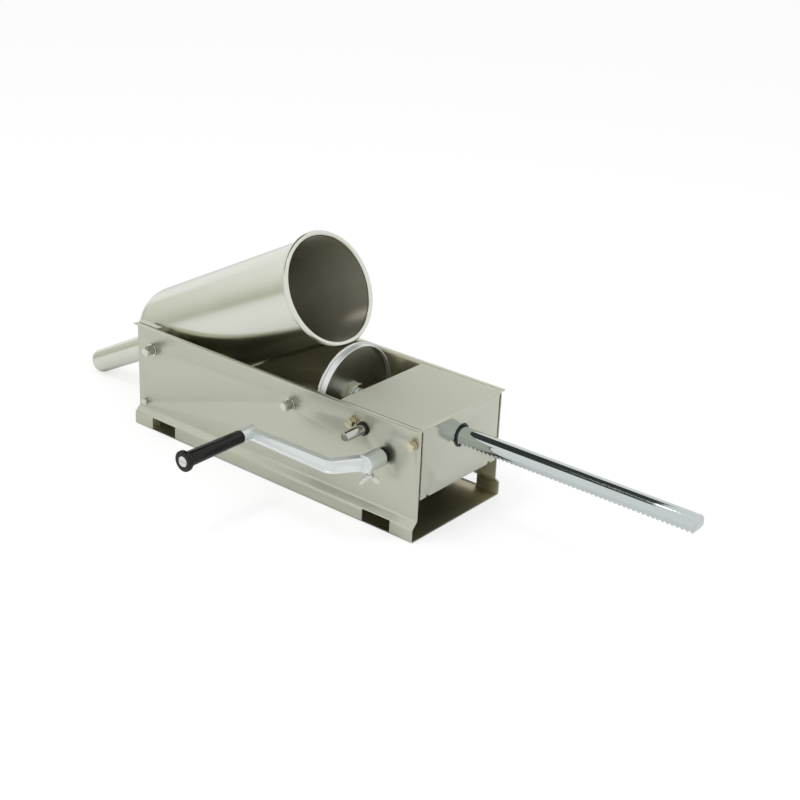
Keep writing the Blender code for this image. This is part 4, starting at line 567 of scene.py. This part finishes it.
def screw(node, side_sign, start, thickness, width, place, material, shank):
    """Hexagon head on its plain shank."""
    made = hexagon(node + "_fine", side_sign, start, start + thickness, width, place, material)
    for first, last, radius in shank:
        stem = bmesh.new()
        rod(stem, "y", side_sign * first, side_sign * last, radius, place)
        carve(made, stem, "UNION")
    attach(made, "frame")
    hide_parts(node)


GUIDE_WASHER = 0.0016
GUIDE_NUT = 0.0062
GUIDE_HEAD = 0.0053
GUIDE_WIDTH = 0.0130
GUIDE_HEAD_WIDTH = 0.0110
COVER_WASHER = 0.0012
COVER_SPRING = 0.0022
COVER_HEAD = 0.0050
COVER_WIDTH = 0.0108
SADDLE_HEAD = 0.0035
SADDLE_WIDTH = 0.0080
outside = PANEL_OUTSIDE + GAP
for side_sign, side_name in ((-1, "near"), (1, "far")):
    for end, x in zip(("front", "rear"), GUIDE_SCREW_XS):
        place = (x, GUIDE_SCREW_Z)
        label = side_name + "_" + end
        nut_start = outside + GUIDE_WASHER + GAP
        head_start = nut_start + GUIDE_NUT + GAP
        washer("guide_washer_" + label, side_sign, outside, GUIDE_WASHER, 0.0044, 0.0082, place,
               bright_plate)
        nut = hexagon("guide_lock_nut_" + label + "_fine", side_sign, nut_start,
                      nut_start + GUIDE_NUT, GUIDE_WIDTH, place, nut_plate, GUIDE_HOLE)
        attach(nut, "frame")
        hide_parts("guide_lock_nut_" + label)
        screw("guide_screw_" + label, side_sign, head_start, GUIDE_HEAD, GUIDE_HEAD_WIDTH, place,
              bright_plate, ((PANEL_INSIDE - 0.0075, PANEL_INSIDE, 0.0033),
                             (PANEL_INSIDE - 0.0035, head_start + GAP, 0.0040)))
    for end, x, tail in zip(("wall", "front"), COVER_BOLT_XS, (0.0694, 0.0722)):
        place = (x, COVER_BOLT_Z)
        label = side_name + "_" + end
        head_start = outside + COVER_WASHER + GAP
        washer("cover_washer_" + label, side_sign, outside, COVER_WASHER, 0.0034, 0.0062, place,
               yellow_plate)
        screw("cover_bolt_" + label, side_sign, head_start + COVER_SPRING, COVER_HEAD, COVER_WIDTH,
              place, yellow_plate, ((tail, head_start + COVER_SPRING + GAP, 0.0029),
                                    (head_start, head_start + COVER_SPRING - GAP, 0.0049)))
        dress("cover_nut_" + label, "frame", yellow_plate)
    screw("saddle_bolt_" + side_name, side_sign, outside, SADDLE_HEAD, SADDLE_WIDTH,
          (SADDLE_BOLT_X, SADDLE_BOLT_Z), bright_plate, ((0.0730, outside + GAP, 0.0024),))
    dress("saddle_nut_" + side_name, "frame", bright_plate)


# Rack: a round chromed bar, its teeth planed across the underside as far as the free end.
PISTON_FACE = FRONT + 0.3144
RACK_RADIUS = 0.0120
RACK_START = PISTON_FACE + 0.0062
RACK_END = FRONT + 0.8272
RACK_CHAMFER = 0.0010
TAPPED_END = PISTON_FACE + 0.0263
TOOTH_MODULE = 0.002
TOOTH_PITCH = math.pi * TOOTH_MODULE
FLANK_PLAY = 0.00015
CREST_DROP = 0.0090
TOOTH_DEPTH = 0.0045
LEAN = math.tan(math.radians(20.0))
TEETH_LEFT = 12
TEETH_RIGHT = 62
chrome = metal("chrome", (0.54, 0.585, 0.585), 0.07, (60.0, 500.0, 500.0), smudge=0.2, wear=0.2)
rack = turned("rack_bar_fine",
              [(RACK_START, 0), (RACK_START, RACK_RADIUS), (RACK_END - RACK_CHAMFER, RACK_RADIUS),
               (RACK_END, RACK_RADIUS - RACK_CHAMFER), (RACK_END, 0)],
              (1, 0, 0), (0, 0, AXIS_HEIGHT), 96, chrome)
crest_z = AXIS_HEIGHT - CREST_DROP
root_z = crest_z + TOOTH_DEPTH
crest_half = TOOTH_PITCH / 4 - FLANK_PLAY - TOOTH_MODULE * LEAN
root_half = crest_half + TOOTH_DEPTH * LEAN
below_z = AXIS_HEIGHT - RACK_RADIUS - OVERRUN
first_x = MAIN_SHAFT_X - TEETH_LEFT * TOOTH_PITCH
comb_line = [(first_x - crest_half, below_z), (first_x - crest_half, crest_z),
             (first_x + crest_half, crest_z), (first_x + root_half, root_z)]
for k in range(1 - TEETH_LEFT, TEETH_RIGHT + 1):
    x = MAIN_SHAFT_X + k * TOOTH_PITCH
    comb_line += [(x - root_half, root_z), (x - crest_half, crest_z), (x + crest_half, crest_z),
                  (x + root_half, root_z)]
comb_line.append((comb_line[-1][0], below_z))
comb = bmesh.new()
comb_face = comb.faces.new([comb.verts.new((x, -RACK_RADIUS - OVERRUN, z)) for x, z in comb_line])
comb_pull = bmesh.ops.extrude_face_region(comb, geom=[comb_face])
bmesh.ops.translate(comb, verts=[v for v in comb_pull["geom"] if isinstance(v, bmesh.types.BMVert)],
                    vec=(0, 2 * (RACK_RADIUS + OVERRUN), 0))
bmesh.ops.recalc_face_normals(comb, faces=comb.faces)
carve(rack, comb)
tapped = bmesh.new()
rod(tapped, "x", RACK_START - OVERRUN, TAPPED_END, 0.0054, (0, AXIS_HEIGHT))
carve(rack, tapped)
ease(rack, 0.00018)
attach(rack, "rack")
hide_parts("rack_bar")


# Piston: a thin polished disc, a pale seal ring in the groove behind it and an open-backed cup,
# all clamped on the rack's end by a flush screw from the front and a large nut from the back.
polished_steel = metal("polished_steel", (0.66, 0.65, 0.60), 0.15, (120.0, 500.0, 500.0),
                       smudge=0.25)
# Painted light and shade: a lighter copy of the steel for the cup, a darker one for its floor.
cup_floor_shade_steel = metal("cup_floor_shade_steel", (0.40, 0.39, 0.33), 0.34, (40.0, 40.0, 300.0), smudge=0.3)
seal_rubber = moulded("seal_rubber", (0.55, 0.56, 0.55), 0.5, 500.0)
cup_steel = metal("cup_steel", (0.80, 0.83, 0.82), 0.52, (40.0, 40.0, 300.0))
piston_place = ((1, 0, 0), (PISTON_FACE, 0, AXIS_HEIGHT))
piston_plate = turned("piston_front_plate_fine",
                      [(0, 0.0083), (0, 0.0678), (0.0004, 0.0682), (0.0012, 0.0682),
                       (0.0016, 0.0678), (0.0016, 0.0083)], *piston_place, 160, polished_steel)
piston_seal = turned("piston_seal_fine",
                     [(0.0019, 0.0560), (0.0019, 0.0681), (0.0023, 0.0685), (0.0037, 0.0685),
                      (0.0041, 0.0681), (0.0041, 0.0560)], *piston_place, 160, seal_rubber)
piston_cup = turned("piston_cup_fine",
                    [(0.0034, 0.0083), (0.0019, 0.0083), (0.0019, 0.0557), (0.0044, 0.0557),
                     (0.0044, 0.0670), (0.0048, 0.0674), (0.0126, 0.0674), (0.0130, 0.0671),
                     (0.0130, 0.0662), (0.0127, 0.0659), (0.0068, 0.0659), (0.0059, 0.0650),
                     (0.0059, 0.0053), (0.0034, 0.0053)], *piston_place, 160, cup_steel)
piston_cup.data.materials.append(cup_floor_shade_steel)
# Painted shade: the floor of the cup's hollow takes the darker copy.
for face in piston_cup.data.polygons:
    if face.normal.x > 0.5 and face.center.x < PISTON_FACE + 0.0064:
        face.material_index = 1
for made, node, slot_name in ((piston_plate, "piston_front_plate", "polished_steel"),
                              (piston_seal, "piston_seal", "seal_rubber"),
                              (piston_cup, "piston_cup", "polished_steel")):
    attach(made, "rack")
    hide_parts(node)
dress("piston_hub_nut", "rack", bright_plate)
dress("piston_screw", "rack", bright_plate)


# Shafts and gears inside the gearbox: turned and hobbed steel, lightly oiled. The upper shaft's
# free end stands out of the near panel, where the crank can be moved for the slower speed.
gear_steel = metal("gear_steel", (0.30, 0.30, 0.29), 0.35, (300.0, 60.0, 300.0))
shaft_steel = metal("shaft_steel", (0.50, 0.49, 0.44), 0.16, (300.0, 60.0, 300.0))
for node in ("main_shaft", "reduction_gear", "gear_pin", "main_shaft_circlip_inner",
             "main_shaft_circlip_outer"):
    dress(node, "crank_shaft", gear_steel)
dress("upper_shaft_circlip", "upper_shaft", gear_steel)
dress("upper_shaft", "upper_shaft", shaft_steel)


# Crank: one aluminium casting with its closed hub, cranked arm of I section and grip boss, tumbled
# bright. The wing screw under the hub clamps it on the shaft's flat.
HUB_BACK = PANEL_OUTSIDE + 0.0065
HUB_FRONT = HUB_BACK + 0.031
HUB_RADIUS = 0.0118
ARM_FROM_AXIS = HUB_FRONT + 0.031
ARM_RADIUS = 0.1608
ARM_STEP = 0.0268
ARM_START = 0.011
ARM_CORNER = 0.012
ARM_HALF = 0.0045
ARM_ROOT = 0.0180
ARM_TIP = 0.0135
ARM_RIM = 0.0022
ARM_RECESS = 0.0014
BOSS_RADIUS = 0.0088
BOSS_BACK = ARM_FROM_AXIS - 0.0070
BOSS_FRONT = ARM_FROM_AXIS + 0.0160
SPINDLE_RADIUS = 0.0040
cast_aluminium = metal("cast_aluminium", (0.70, 0.74, 0.73), 0.45, (600.0, 600.0, 600.0),
                       grain_depth=0.5, scratch=0.5)
crank = turned("crank_arm_fine",
               [(HUB_BACK, 0), (HUB_BACK, HUB_RADIUS - 0.0012), (HUB_BACK + 0.0012, HUB_RADIUS),
                (HUB_FRONT - 0.0012, HUB_RADIUS), (HUB_FRONT, HUB_RADIUS - 0.0012),
                (HUB_FRONT, 0)],
               (0, -1, 0), (MAIN_SHAFT_X, 0, MAIN_SHAFT_Z), 64, cast_aluminium)
spine = [Vector((MAIN_SHAFT_X, ARM_START - HUB_FRONT)),
         Vector((MAIN_SHAFT_X - ARM_STEP, -ARM_FROM_AXIS)),
         Vector((MAIN_SHAFT_X - ARM_RADIUS, -ARM_FROM_AXIS))]
back = (spine[0] - spine[1]).normalized()
ahead = (spine[2] - spine[1]).normalized()
half_turn = back.angle(ahead) / 2
middle_point = spine[1] + (back + ahead).normalized() * ARM_CORNER / math.sin(half_turn)
first = spine[1] + back * ARM_CORNER / math.tan(half_turn) - middle_point
second = spine[1] + ahead * ARM_CORNER / math.tan(half_turn) - middle_point
from_angle = math.atan2(first.y, first.x)
sweep = math.remainder(math.atan2(second.y, second.x) - from_angle, 2 * math.pi)
bend = [middle_point + Vector((math.cos(from_angle + sweep * i / 12),
                               math.sin(from_angle + sweep * i / 12))) * ARM_CORNER
        for i in range(13)]
spine = [spine[0]] + bend + [spine[2]]
casting = bmesh.new()
rings = []
for i, point in enumerate(spine):
    along = spine[min(i + 1, len(spine) - 1)] - spine[max(i - 1, 0)]
    outwards = Vector((-along.y, along.x)).normalized()
    share = (MAIN_SHAFT_X - point.x) / ARM_RADIUS
    half_height = (ARM_ROOT + (ARM_TIP - ARM_ROOT) * share) / 2
    inner = half_height - ARM_RIM
    quarter_line = [(ARM_HALF, half_height), (ARM_HALF, inner),
                    (ARM_HALF - ARM_RECESS, inner - ARM_RECESS / 2)]
    half_line = quarter_line + [(n, -z) for n, z in reversed(quarter_line)]
    ring = []
    for n, z in half_line + [(-n, z) for n, z in reversed(half_line)]:
        flat = point + outwards * n
        ring.append(casting.verts.new((flat.x, flat.y, MAIN_SHAFT_Z + z)))
    rings.append(ring)
for first_ring, second_ring in zip(rings, rings[1:]):
    for i in range(len(first_ring)):
        after = (i + 1) % len(first_ring)
        casting.faces.new((first_ring[i], first_ring[after], second_ring[after], second_ring[i]))
casting.faces.new(rings[0])
casting.faces.new(list(reversed(rings[-1])))
bmesh.ops.recalc_face_normals(casting, faces=casting.faces)
carve(crank, casting, "UNION")
boss = bmesh.new()
rod(boss, "y", -BOSS_BACK, -BOSS_FRONT, BOSS_RADIUS, (MAIN_SHAFT_X - ARM_RADIUS, MAIN_SHAFT_Z), 64)
carve(crank, boss, "UNION")
bores = bmesh.new()
rod(bores, "y", OVERRUN - HUB_BACK, 0.004 - HUB_FRONT, MAIN_SHAFT_RADIUS + GAP,
    (MAIN_SHAFT_X, MAIN_SHAFT_Z), 64)
rod(bores, "y", OVERRUN - BOSS_BACK, -OVERRUN - BOSS_FRONT, SPINDLE_RADIUS + GAP,
    (MAIN_SHAFT_X - ARM_RADIUS, MAIN_SHAFT_Z), 48)
carve(crank, bores)
WING_Y = 0.0120 - HUB_FRONT
tapped = bmesh.new()
rod(tapped, "z", MAIN_SHAFT_Z - HUB_RADIUS - OVERRUN, MAIN_SHAFT_Z, 0.0033,
    (MAIN_SHAFT_X, WING_Y), 48)
carve(crank, tapped)
ease(crank, 0.0007, 3)
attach(crank, "crank_shaft")
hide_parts("crank_arm")

COLLAR_TOP = -HUB_RADIUS - 0.0045
COLLAR_BOTTOM = COLLAR_TOP - 0.0050
WING_LENGTH = 0.0150
WING_BREADTH = 0.0062
WING_THICKNESS = 0.0024
wing = turned("wing_screw_fine",
              [(-0.0058, 0), (-0.0058, 0.0030), (COLLAR_TOP, 0.0030), (COLLAR_TOP, 0.0046),
               (COLLAR_TOP - 0.0004, 0.0050), (COLLAR_BOTTOM + 0.0008, 0.0050),
               (COLLAR_BOTTOM, 0.0042), (COLLAR_BOTTOM, 0)],
              (0, 0, 1), (0, 0, 0), 48, bright_plate)
for side_sign in (-1, 1):
    blade = bmesh.new()
    bmesh.ops.create_cone(blade, cap_ends=True, segments=48, radius1=1.0, radius2=1.0,
                          depth=WING_THICKNESS,
                          matrix=Matrix.Translation((side_sign * 0.0070, 0,
                                                     COLLAR_BOTTOM - 0.0035))
                          @ Matrix.Rotation(side_sign * math.radians(42.0), 4, "Y")
                          @ Matrix.Rotation(math.pi / 2, 4, "X")
                          @ Matrix.Diagonal((WING_LENGTH / 2, WING_BREADTH / 2, 1.0, 1.0)))
    carve(wing, blade, "UNION")
ease(wing, 0.0005, 3)
wing.data.transform(Matrix.Translation((MAIN_SHAFT_X, WING_Y, MAIN_SHAFT_Z))
                    @ Matrix.Rotation(math.radians(50.0), 4, "Z"))
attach(wing, "wing_screw")
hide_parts("wing_screw")


# Grip: a black glossy moulding that turns on a plated spindle riveted in the boss. The spindle's
# slotted head lies sunk in the grip's flanged end.
GRIP_LENGTH = 0.0965
GRIP_START = BOSS_FRONT + GAP
GRIP_END = GRIP_START + GRIP_LENGTH
HEAD_END = GRIP_END + 0.0006
HEAD_START = HEAD_END - 0.0025
glossy_black = moulded("glossy_black", (0.006, 0.006, 0.005), 0.12, 200.0)
glossy_black.node_tree.nodes["Principled BSDF"].inputs["Specular IOR Level"].default_value = 0.25
grip_place = ((0, -1, 0), (MAIN_SHAFT_X - ARM_RADIUS, 0, MAIN_SHAFT_Z))
neck = GRIP_END - 0.0100
grip = turned("grip_fine",
              [(GRIP_START, 0.0043), (GRIP_START, 0.0072), (GRIP_START + 0.0005, 0.0081),
               (GRIP_START + 0.0015, 0.0087), (neck - 0.0010, 0.0097), (neck, 0.0096),
               (neck + 0.0009, 0.0092), (neck + 0.0015, 0.0090), (neck + 0.0040, 0.0090),
               (neck + 0.0040, 0.0120), (neck + 0.0044, 0.0129), (neck + 0.0052, 0.0134),
               (neck + 0.0062, 0.0135), (neck + 0.0085, 0.0135), (neck + 0.0094, 0.0132),
               (neck + 0.0099, 0.0125), (GRIP_END, 0.0116), (GRIP_END, 0.0071),
               (HEAD_START - GAP, 0.0071), (HEAD_START - GAP, 0.0043)],
              *grip_place, 96, glossy_black)
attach(grip, "grip")
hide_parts("grip")
spindle = turned("grip_spindle_fine",
                 [(BOSS_BACK - GAP - 0.0018, 0), (BOSS_BACK - GAP - 0.0018, 0.0054),
                  (BOSS_BACK - GAP - 0.0010, 0.0062), (BOSS_BACK - GAP, 0.0062),
                  (BOSS_BACK - GAP, SPINDLE_RADIUS), (HEAD_START, SPINDLE_RADIUS),
                  (HEAD_START, 0.0068), (HEAD_END - 0.0005, 0.0068), (HEAD_END, 0.0062),
                  (HEAD_END, 0)], *grip_place, 64, bright_plate)
slot = bmesh.new()
block(slot, (MAIN_SHAFT_X - ARM_RADIUS - 0.008, -HEAD_END - OVERRUN, MAIN_SHAFT_Z - 0.0007),
      (MAIN_SHAFT_X - ARM_RADIUS + 0.008, 0.0009 - HEAD_END, MAIN_SHAFT_Z + 0.0007))
carve(spindle, slot)
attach(spindle, "crank_shaft")
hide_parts("grip_spindle")


# Cylinder: a deep-drawn pot of polished stainless steel with a rolled rim, a domed end and a
# threaded neck. It is tipped up for filling; its tube is held on the neck by a ring nut.
BORE_RADIUS = 0.0689
WALL = 0.0011
BEAD = 0.0037
CYLINDER_LENGTH = 0.346
DOME = 0.040
NECK_LENGTH = 0.020
NECK_RADIUS = 0.0200
NECK_BORE = 0.0180
PIVOT = Vector((FRONT + 0.0114, 0, AXIS_HEIGHT + 0.0266))
RIM_REACH = 0.2969 - 0.0114
TILT = math.radians(27.4)
tipped = Matrix.Translation(PIVOT) @ Matrix.Rotation(-TILT, 4, "Y") @ Matrix.Translation(
    (RIM_REACH, 0, -0.0266))


def bow(along, out, radius, start, end, steps):
    """Points of an arc in a turning's outline."""
    return [(along + radius * math.cos(start + (end - start) * i / steps),
             out + radius * math.sin(start + (end - start) * i / steps)) for i in range(steps + 1)]


drawn_steel = metal("drawn_steel", (0.69, 0.70, 0.62), 0.19, (500.0, 40.0, 40.0), smudge=0.2,
                    tip=TILT)
# Painted shade: the pot's inside is a darker, browner copy of the drawn steel; its grain is real.
inner_shade_steel = metal("inner_shade_steel", (0.41, 0.39, 0.31), 0.44, (900.0, 14.0, 14.0), grain_depth=0.3,
                    tip=TILT)
inner_nodes = inner_shade_steel.node_tree.nodes
bore_line = inner_nodes.new("ShaderNodeVectorTransform")
bore_line.vector_type = "VECTOR"
bore_line.convert_from = "OBJECT"
bore_line.convert_to = "WORLD"
bore_line.inputs["Vector"].default_value = (math.cos(TILT), 0.0, math.sin(TILT))
inner_shade_steel.node_tree.links.new(bore_line.outputs["Vector"],
                                inner_nodes["Principled BSDF"].inputs["Tangent"])
inner_nodes["Principled BSDF"].inputs["Anisotropic"].default_value = 0.95
outer = BORE_RADIUS + WALL
bead_r = BORE_RADIUS + BEAD
dome_s = CYLINDER_LENGTH - DOME
quarter = math.pi / 2
pot_line = bow(BEAD, bead_r, BEAD, 3 * quarter, math.asin((outer - bead_r) / BEAD), 24)
pot_line += bow(dome_s, outer - DOME, DOME, quarter, 0, 20)
pot_line += bow(CYLINDER_LENGTH + 0.002, NECK_RADIUS + 0.002, 0.002, 2 * quarter, 3 * quarter, 5)
pot_line += [(CYLINDER_LENGTH + NECK_LENGTH, NECK_RADIUS),
             (CYLINDER_LENGTH + NECK_LENGTH, NECK_BORE), (CYLINDER_LENGTH - WALL, NECK_BORE)]
pot_line += bow(dome_s, outer - DOME, DOME - WALL, 0, quarter, 20)
pot = turned("cylinder_shell_fine", pot_line, (-1, 0, 0), (0, 0, 0), 192, drawn_steel)
pot.data.materials.append(inner_shade_steel)
# Painted shade: faces inside the bore take the darker copy.
for face in pot.data.polygons:
    towards_axis = face.normal.y * face.center.y + face.normal.z * face.center.z < 0
    if towards_axis and face.center.x < -BEAD - 0.0002:
        face.material_index = 1
pot.data.transform(tipped)
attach(pot, "cylinder")
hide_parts("cylinder_shell")

TUBE_START = CYLINDER_LENGTH + NECK_LENGTH + GAP
TUBE_LENGTH = 0.1445
tube = turned("stuffing_tube_fine",
              [(TUBE_START, 0.0170), (TUBE_START, 0.0199), (TUBE_START + 0.002, 0.0199),
               (TUBE_START + 0.002, 0.0180), (TUBE_START + TUBE_LENGTH - 0.0004, 0.0172),
               (TUBE_START + TUBE_LENGTH, 0.0169), (TUBE_START + TUBE_LENGTH, 0.0165),
               (TUBE_START + TUBE_LENGTH - 0.0004, 0.0162)],
              (-1, 0, 0), (0, 0, 0), 96, drawn_steel)
tube.data.transform(tipped)
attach(tube, "cylinder")
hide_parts("stuffing_tube")
NUT_OUTER = 0.0255
NUT_END = TUBE_START + 0.002 + GAP + 0.0025
NUT_START = NUT_END - 0.0150
NUT_EDGE = 0.0010
nut = turned("tube_nut_fine",
             [(NUT_START, NECK_RADIUS + GAP), (NUT_START, NUT_OUTER - NUT_EDGE),
              (NUT_START + NUT_EDGE, NUT_OUTER), (NUT_END - NUT_EDGE, NUT_OUTER),
              (NUT_END, NUT_OUTER - NUT_EDGE), (NUT_END, 0.0183),
              (NUT_END - 0.0025, 0.0183), (NUT_END - 0.0025, NECK_RADIUS + GAP)],
             (-1, 0, 0), (0, 0, 0), 160, polished_steel)
scallops = bmesh.new()
for i in range(10):
    angle = 2 * math.pi * i / 10
    reach = NUT_OUTER + 0.0030 - 0.0012
    rod(scallops, "x", OVERRUN - NUT_START, -OVERRUN - NUT_END, 0.0030,
        (reach * math.cos(angle), reach * math.sin(angle)), 32)
carve(nut, scallops)
ease(nut, 0.0003)
nut.data.transform(tipped)
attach(nut, "tube_nut")
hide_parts("tube_nut")


# Studio: a white floor that keeps a faint shadow, a white surround, and soft lamps. Two cards out
# of view give the metal its darker bands: a curved wall past the cylinder's end, greyer at its
# foot, and a dark vault above the rack.
white_floor = bpy.data.materials.new("white_floor")
white_floor.use_nodes = True
floor_nodes = white_floor.node_tree.nodes
floor_link = white_floor.node_tree.links.new
floor_shader = floor_nodes["Principled BSDF"]
tint = floor_nodes.new("ShaderNodeMix")
tint.data_type = "RGBA"
tint.inputs["A"].default_value = (0.80, 0.80, 0.80, 1.0)
tint.inputs["B"].default_value = (1.0, 1.0, 1.0, 1.0)
floor_link(tint.outputs["Result"], floor_shader.inputs["Base Color"])
floor_shader.inputs["Roughness"].default_value = 0.9
floor_shader.inputs["Specular IOR Level"].default_value = 0.0
glow = floor_nodes.new("ShaderNodeEmission")
glow.inputs["Color"].default_value = (1.0, 1.0, 1.0, 1.0)
rays = floor_nodes.new("ShaderNodeLightPath")
share = floor_nodes.new("ShaderNodeMath")
share.operation = "MULTIPLY"
share.inputs[1].default_value = 0.65
floor_link(rays.outputs["Is Camera Ray"], share.inputs[0])
floor_link(rays.outputs["Is Camera Ray"], tint.inputs["Factor"])
both = floor_nodes.new("ShaderNodeMixShader")
floor_link(share.outputs["Value"], both.inputs["Fac"])
floor_link(floor_shader.outputs["BSDF"], both.inputs[1])
floor_link(glow.outputs["Emission"], both.inputs[2])
floor_link(both.outputs["Shader"], floor_nodes["Material Output"].inputs["Surface"])
ground = bmesh.new()
bmesh.ops.create_grid(ground, x_segments=1, y_segments=1, size=6.0)
bmesh.ops.translate(ground, verts=ground.verts, vec=(0, 0, -0.0002))
floor = piece("floor", ground, white_floor)


def card(name, shape, low_tone, high_tone, low_z, high_z):
    """A matt card that only mirror-like surfaces see; its tone runs from bottom to top."""
    matt = bpy.data.materials.new(name)
    matt.use_nodes = True
    nodes = matt.node_tree.nodes
    link = matt.node_tree.links.new
    glow = nodes.new("ShaderNodeEmission")
    place = nodes.new("ShaderNodeTexCoord")
    split = nodes.new("ShaderNodeSeparateXYZ")
    link(place.outputs["Object"], split.inputs["Vector"])
    rise = nodes.new("ShaderNodeMapRange")
    rise.inputs["From Min"].default_value = low_z
    rise.inputs["From Max"].default_value = high_z
    link(split.outputs["Z"], rise.inputs["Value"])
    tone = nodes.new("ShaderNodeMix")
    tone.data_type = "RGBA"
    tone.inputs["A"].default_value = (*low_tone, 1.0)
    tone.inputs["B"].default_value = (*high_tone, 1.0)
    link(rise.outputs["Result"], tone.inputs["Factor"])
    link(tone.outputs["Result"], glow.inputs["Color"])
    link(glow.outputs["Emission"], nodes["Material Output"].inputs["Surface"])
    made = piece(name, shape, matt)
    made.visible_camera = False
    made.visible_diffuse = False
    made.visible_shadow = False


WALL_DISTANCE = 2.6
sheet = bmesh.new()
line = [(WALL_DISTANCE * math.cos(angle), WALL_DISTANCE * math.sin(angle))
        for angle in map(math.radians, range(170, 236, 5))]
for (x0, y0), (x1, y1) in zip(line, line[1:]):
    sheet.faces.new([sheet.verts.new(corner) for corner in
                     ((x0, y0, 0.0), (x1, y1, 0.0), (x1, y1, 1.0), (x0, y0, 1.0))])
card("side_card", sheet, (0.55, 0.56, 0.47), (0.96, 0.96, 0.94), 0.10, 0.90)

VAULT_RADIUS = 2.0
vault = bmesh.new()
verts = [vault.verts.new((x, 0, AXIS_HEIGHT + VAULT_RADIUS)) for x in (-1.5, 0.0)]
edges = [vault.edges.new(verts)]
bmesh.ops.rotate(vault, verts=verts, cent=(0, 0, AXIS_HEIGHT),
                 matrix=Matrix.Rotation(math.radians(-35.0), 3, "X"))
bmesh.ops.spin(vault, geom=verts + edges, cent=(0, 0, AXIS_HEIGHT), axis=(1, 0, 0),
               angle=math.radians(75.0), steps=24)
VAULT_TONE = (0.05, 0.055, 0.05)
card("overhead_card", vault, VAULT_TONE, VAULT_TONE, 0.0, 1.0)

world = bpy.context.scene.world or bpy.data.worlds.new("surround")
bpy.context.scene.world = world
world.use_nodes = True
world_nodes = world.node_tree.nodes
world_link = world.node_tree.links.new
sky = world_nodes["Background"]
sky.inputs["Color"].default_value = (1.0, 1.0, 1.0, 1.0)
sky_rays = world_nodes.new("ShaderNodeLightPath")
sky_seen = world_nodes.new("ShaderNodeMath")
sky_seen.operation = "MAXIMUM"
world_link(sky_rays.outputs["Is Camera Ray"], sky_seen.inputs[0])
world_link(sky_rays.outputs["Is Glossy Ray"], sky_seen.inputs[1])
sky_strength = world_nodes.new("ShaderNodeMapRange")
sky_strength.inputs["To Min"].default_value = 0.88
sky_strength.inputs["To Max"].default_value = 1.0
world_link(sky_seen.outputs["Value"], sky_strength.inputs["Value"])
world_link(sky_strength.outputs["Result"], sky.inputs["Strength"])

for name, place, size, energy, shines in (("key", (0.05, -1.7, 1.6), 0.9, 9.0, False),
                                          ("top", (-0.35, -0.7, 2.3), 0.6, 9.0, True),
                                          ("fill", (1.6, 0.6, 1.6), 1.6, 5.0, False)):
    lamp = bpy.data.lights.new(name, "AREA")
    lamp.size = size
    lamp.energy = energy
    holder = bpy.data.objects.new(name, lamp)
    holder.location = place
    aim = Vector((0, 0, 0.1)) - Vector(place)
    holder.rotation_euler = aim.to_track_quat("-Z", "Y").to_euler()
    holder.visible_glossy = shines
    bpy.context.collection.objects.link(holder)

CAMERA_AZIMUTH = math.radians(38.291)
CAMERA_ELEVATION = math.radians(24.114)
CAMERA_ROLL = math.radians(2.599)
CAMERA_PLACE = (1.23848, -1.37925, 0.91867)
camera_data = bpy.data.cameras.new("camera")
camera_data.sensor_width = 36.0
camera_data.lens = 68.69
camera = bpy.data.objects.new("camera", camera_data)
camera.rotation_mode = "XYZ"
camera.matrix_world = (Matrix.Translation(CAMERA_PLACE) @ Matrix.Rotation(CAMERA_AZIMUTH, 4, "Z")
                       @ Matrix.Rotation(math.pi / 2 - CAMERA_ELEVATION, 4, "X")
                       @ Matrix.Rotation(CAMERA_ROLL, 4, "Z"))
bpy.context.collection.objects.link(camera)
bpy.context.scene.camera = camera
bpy.context.scene.view_settings.view_transform = "Standard"
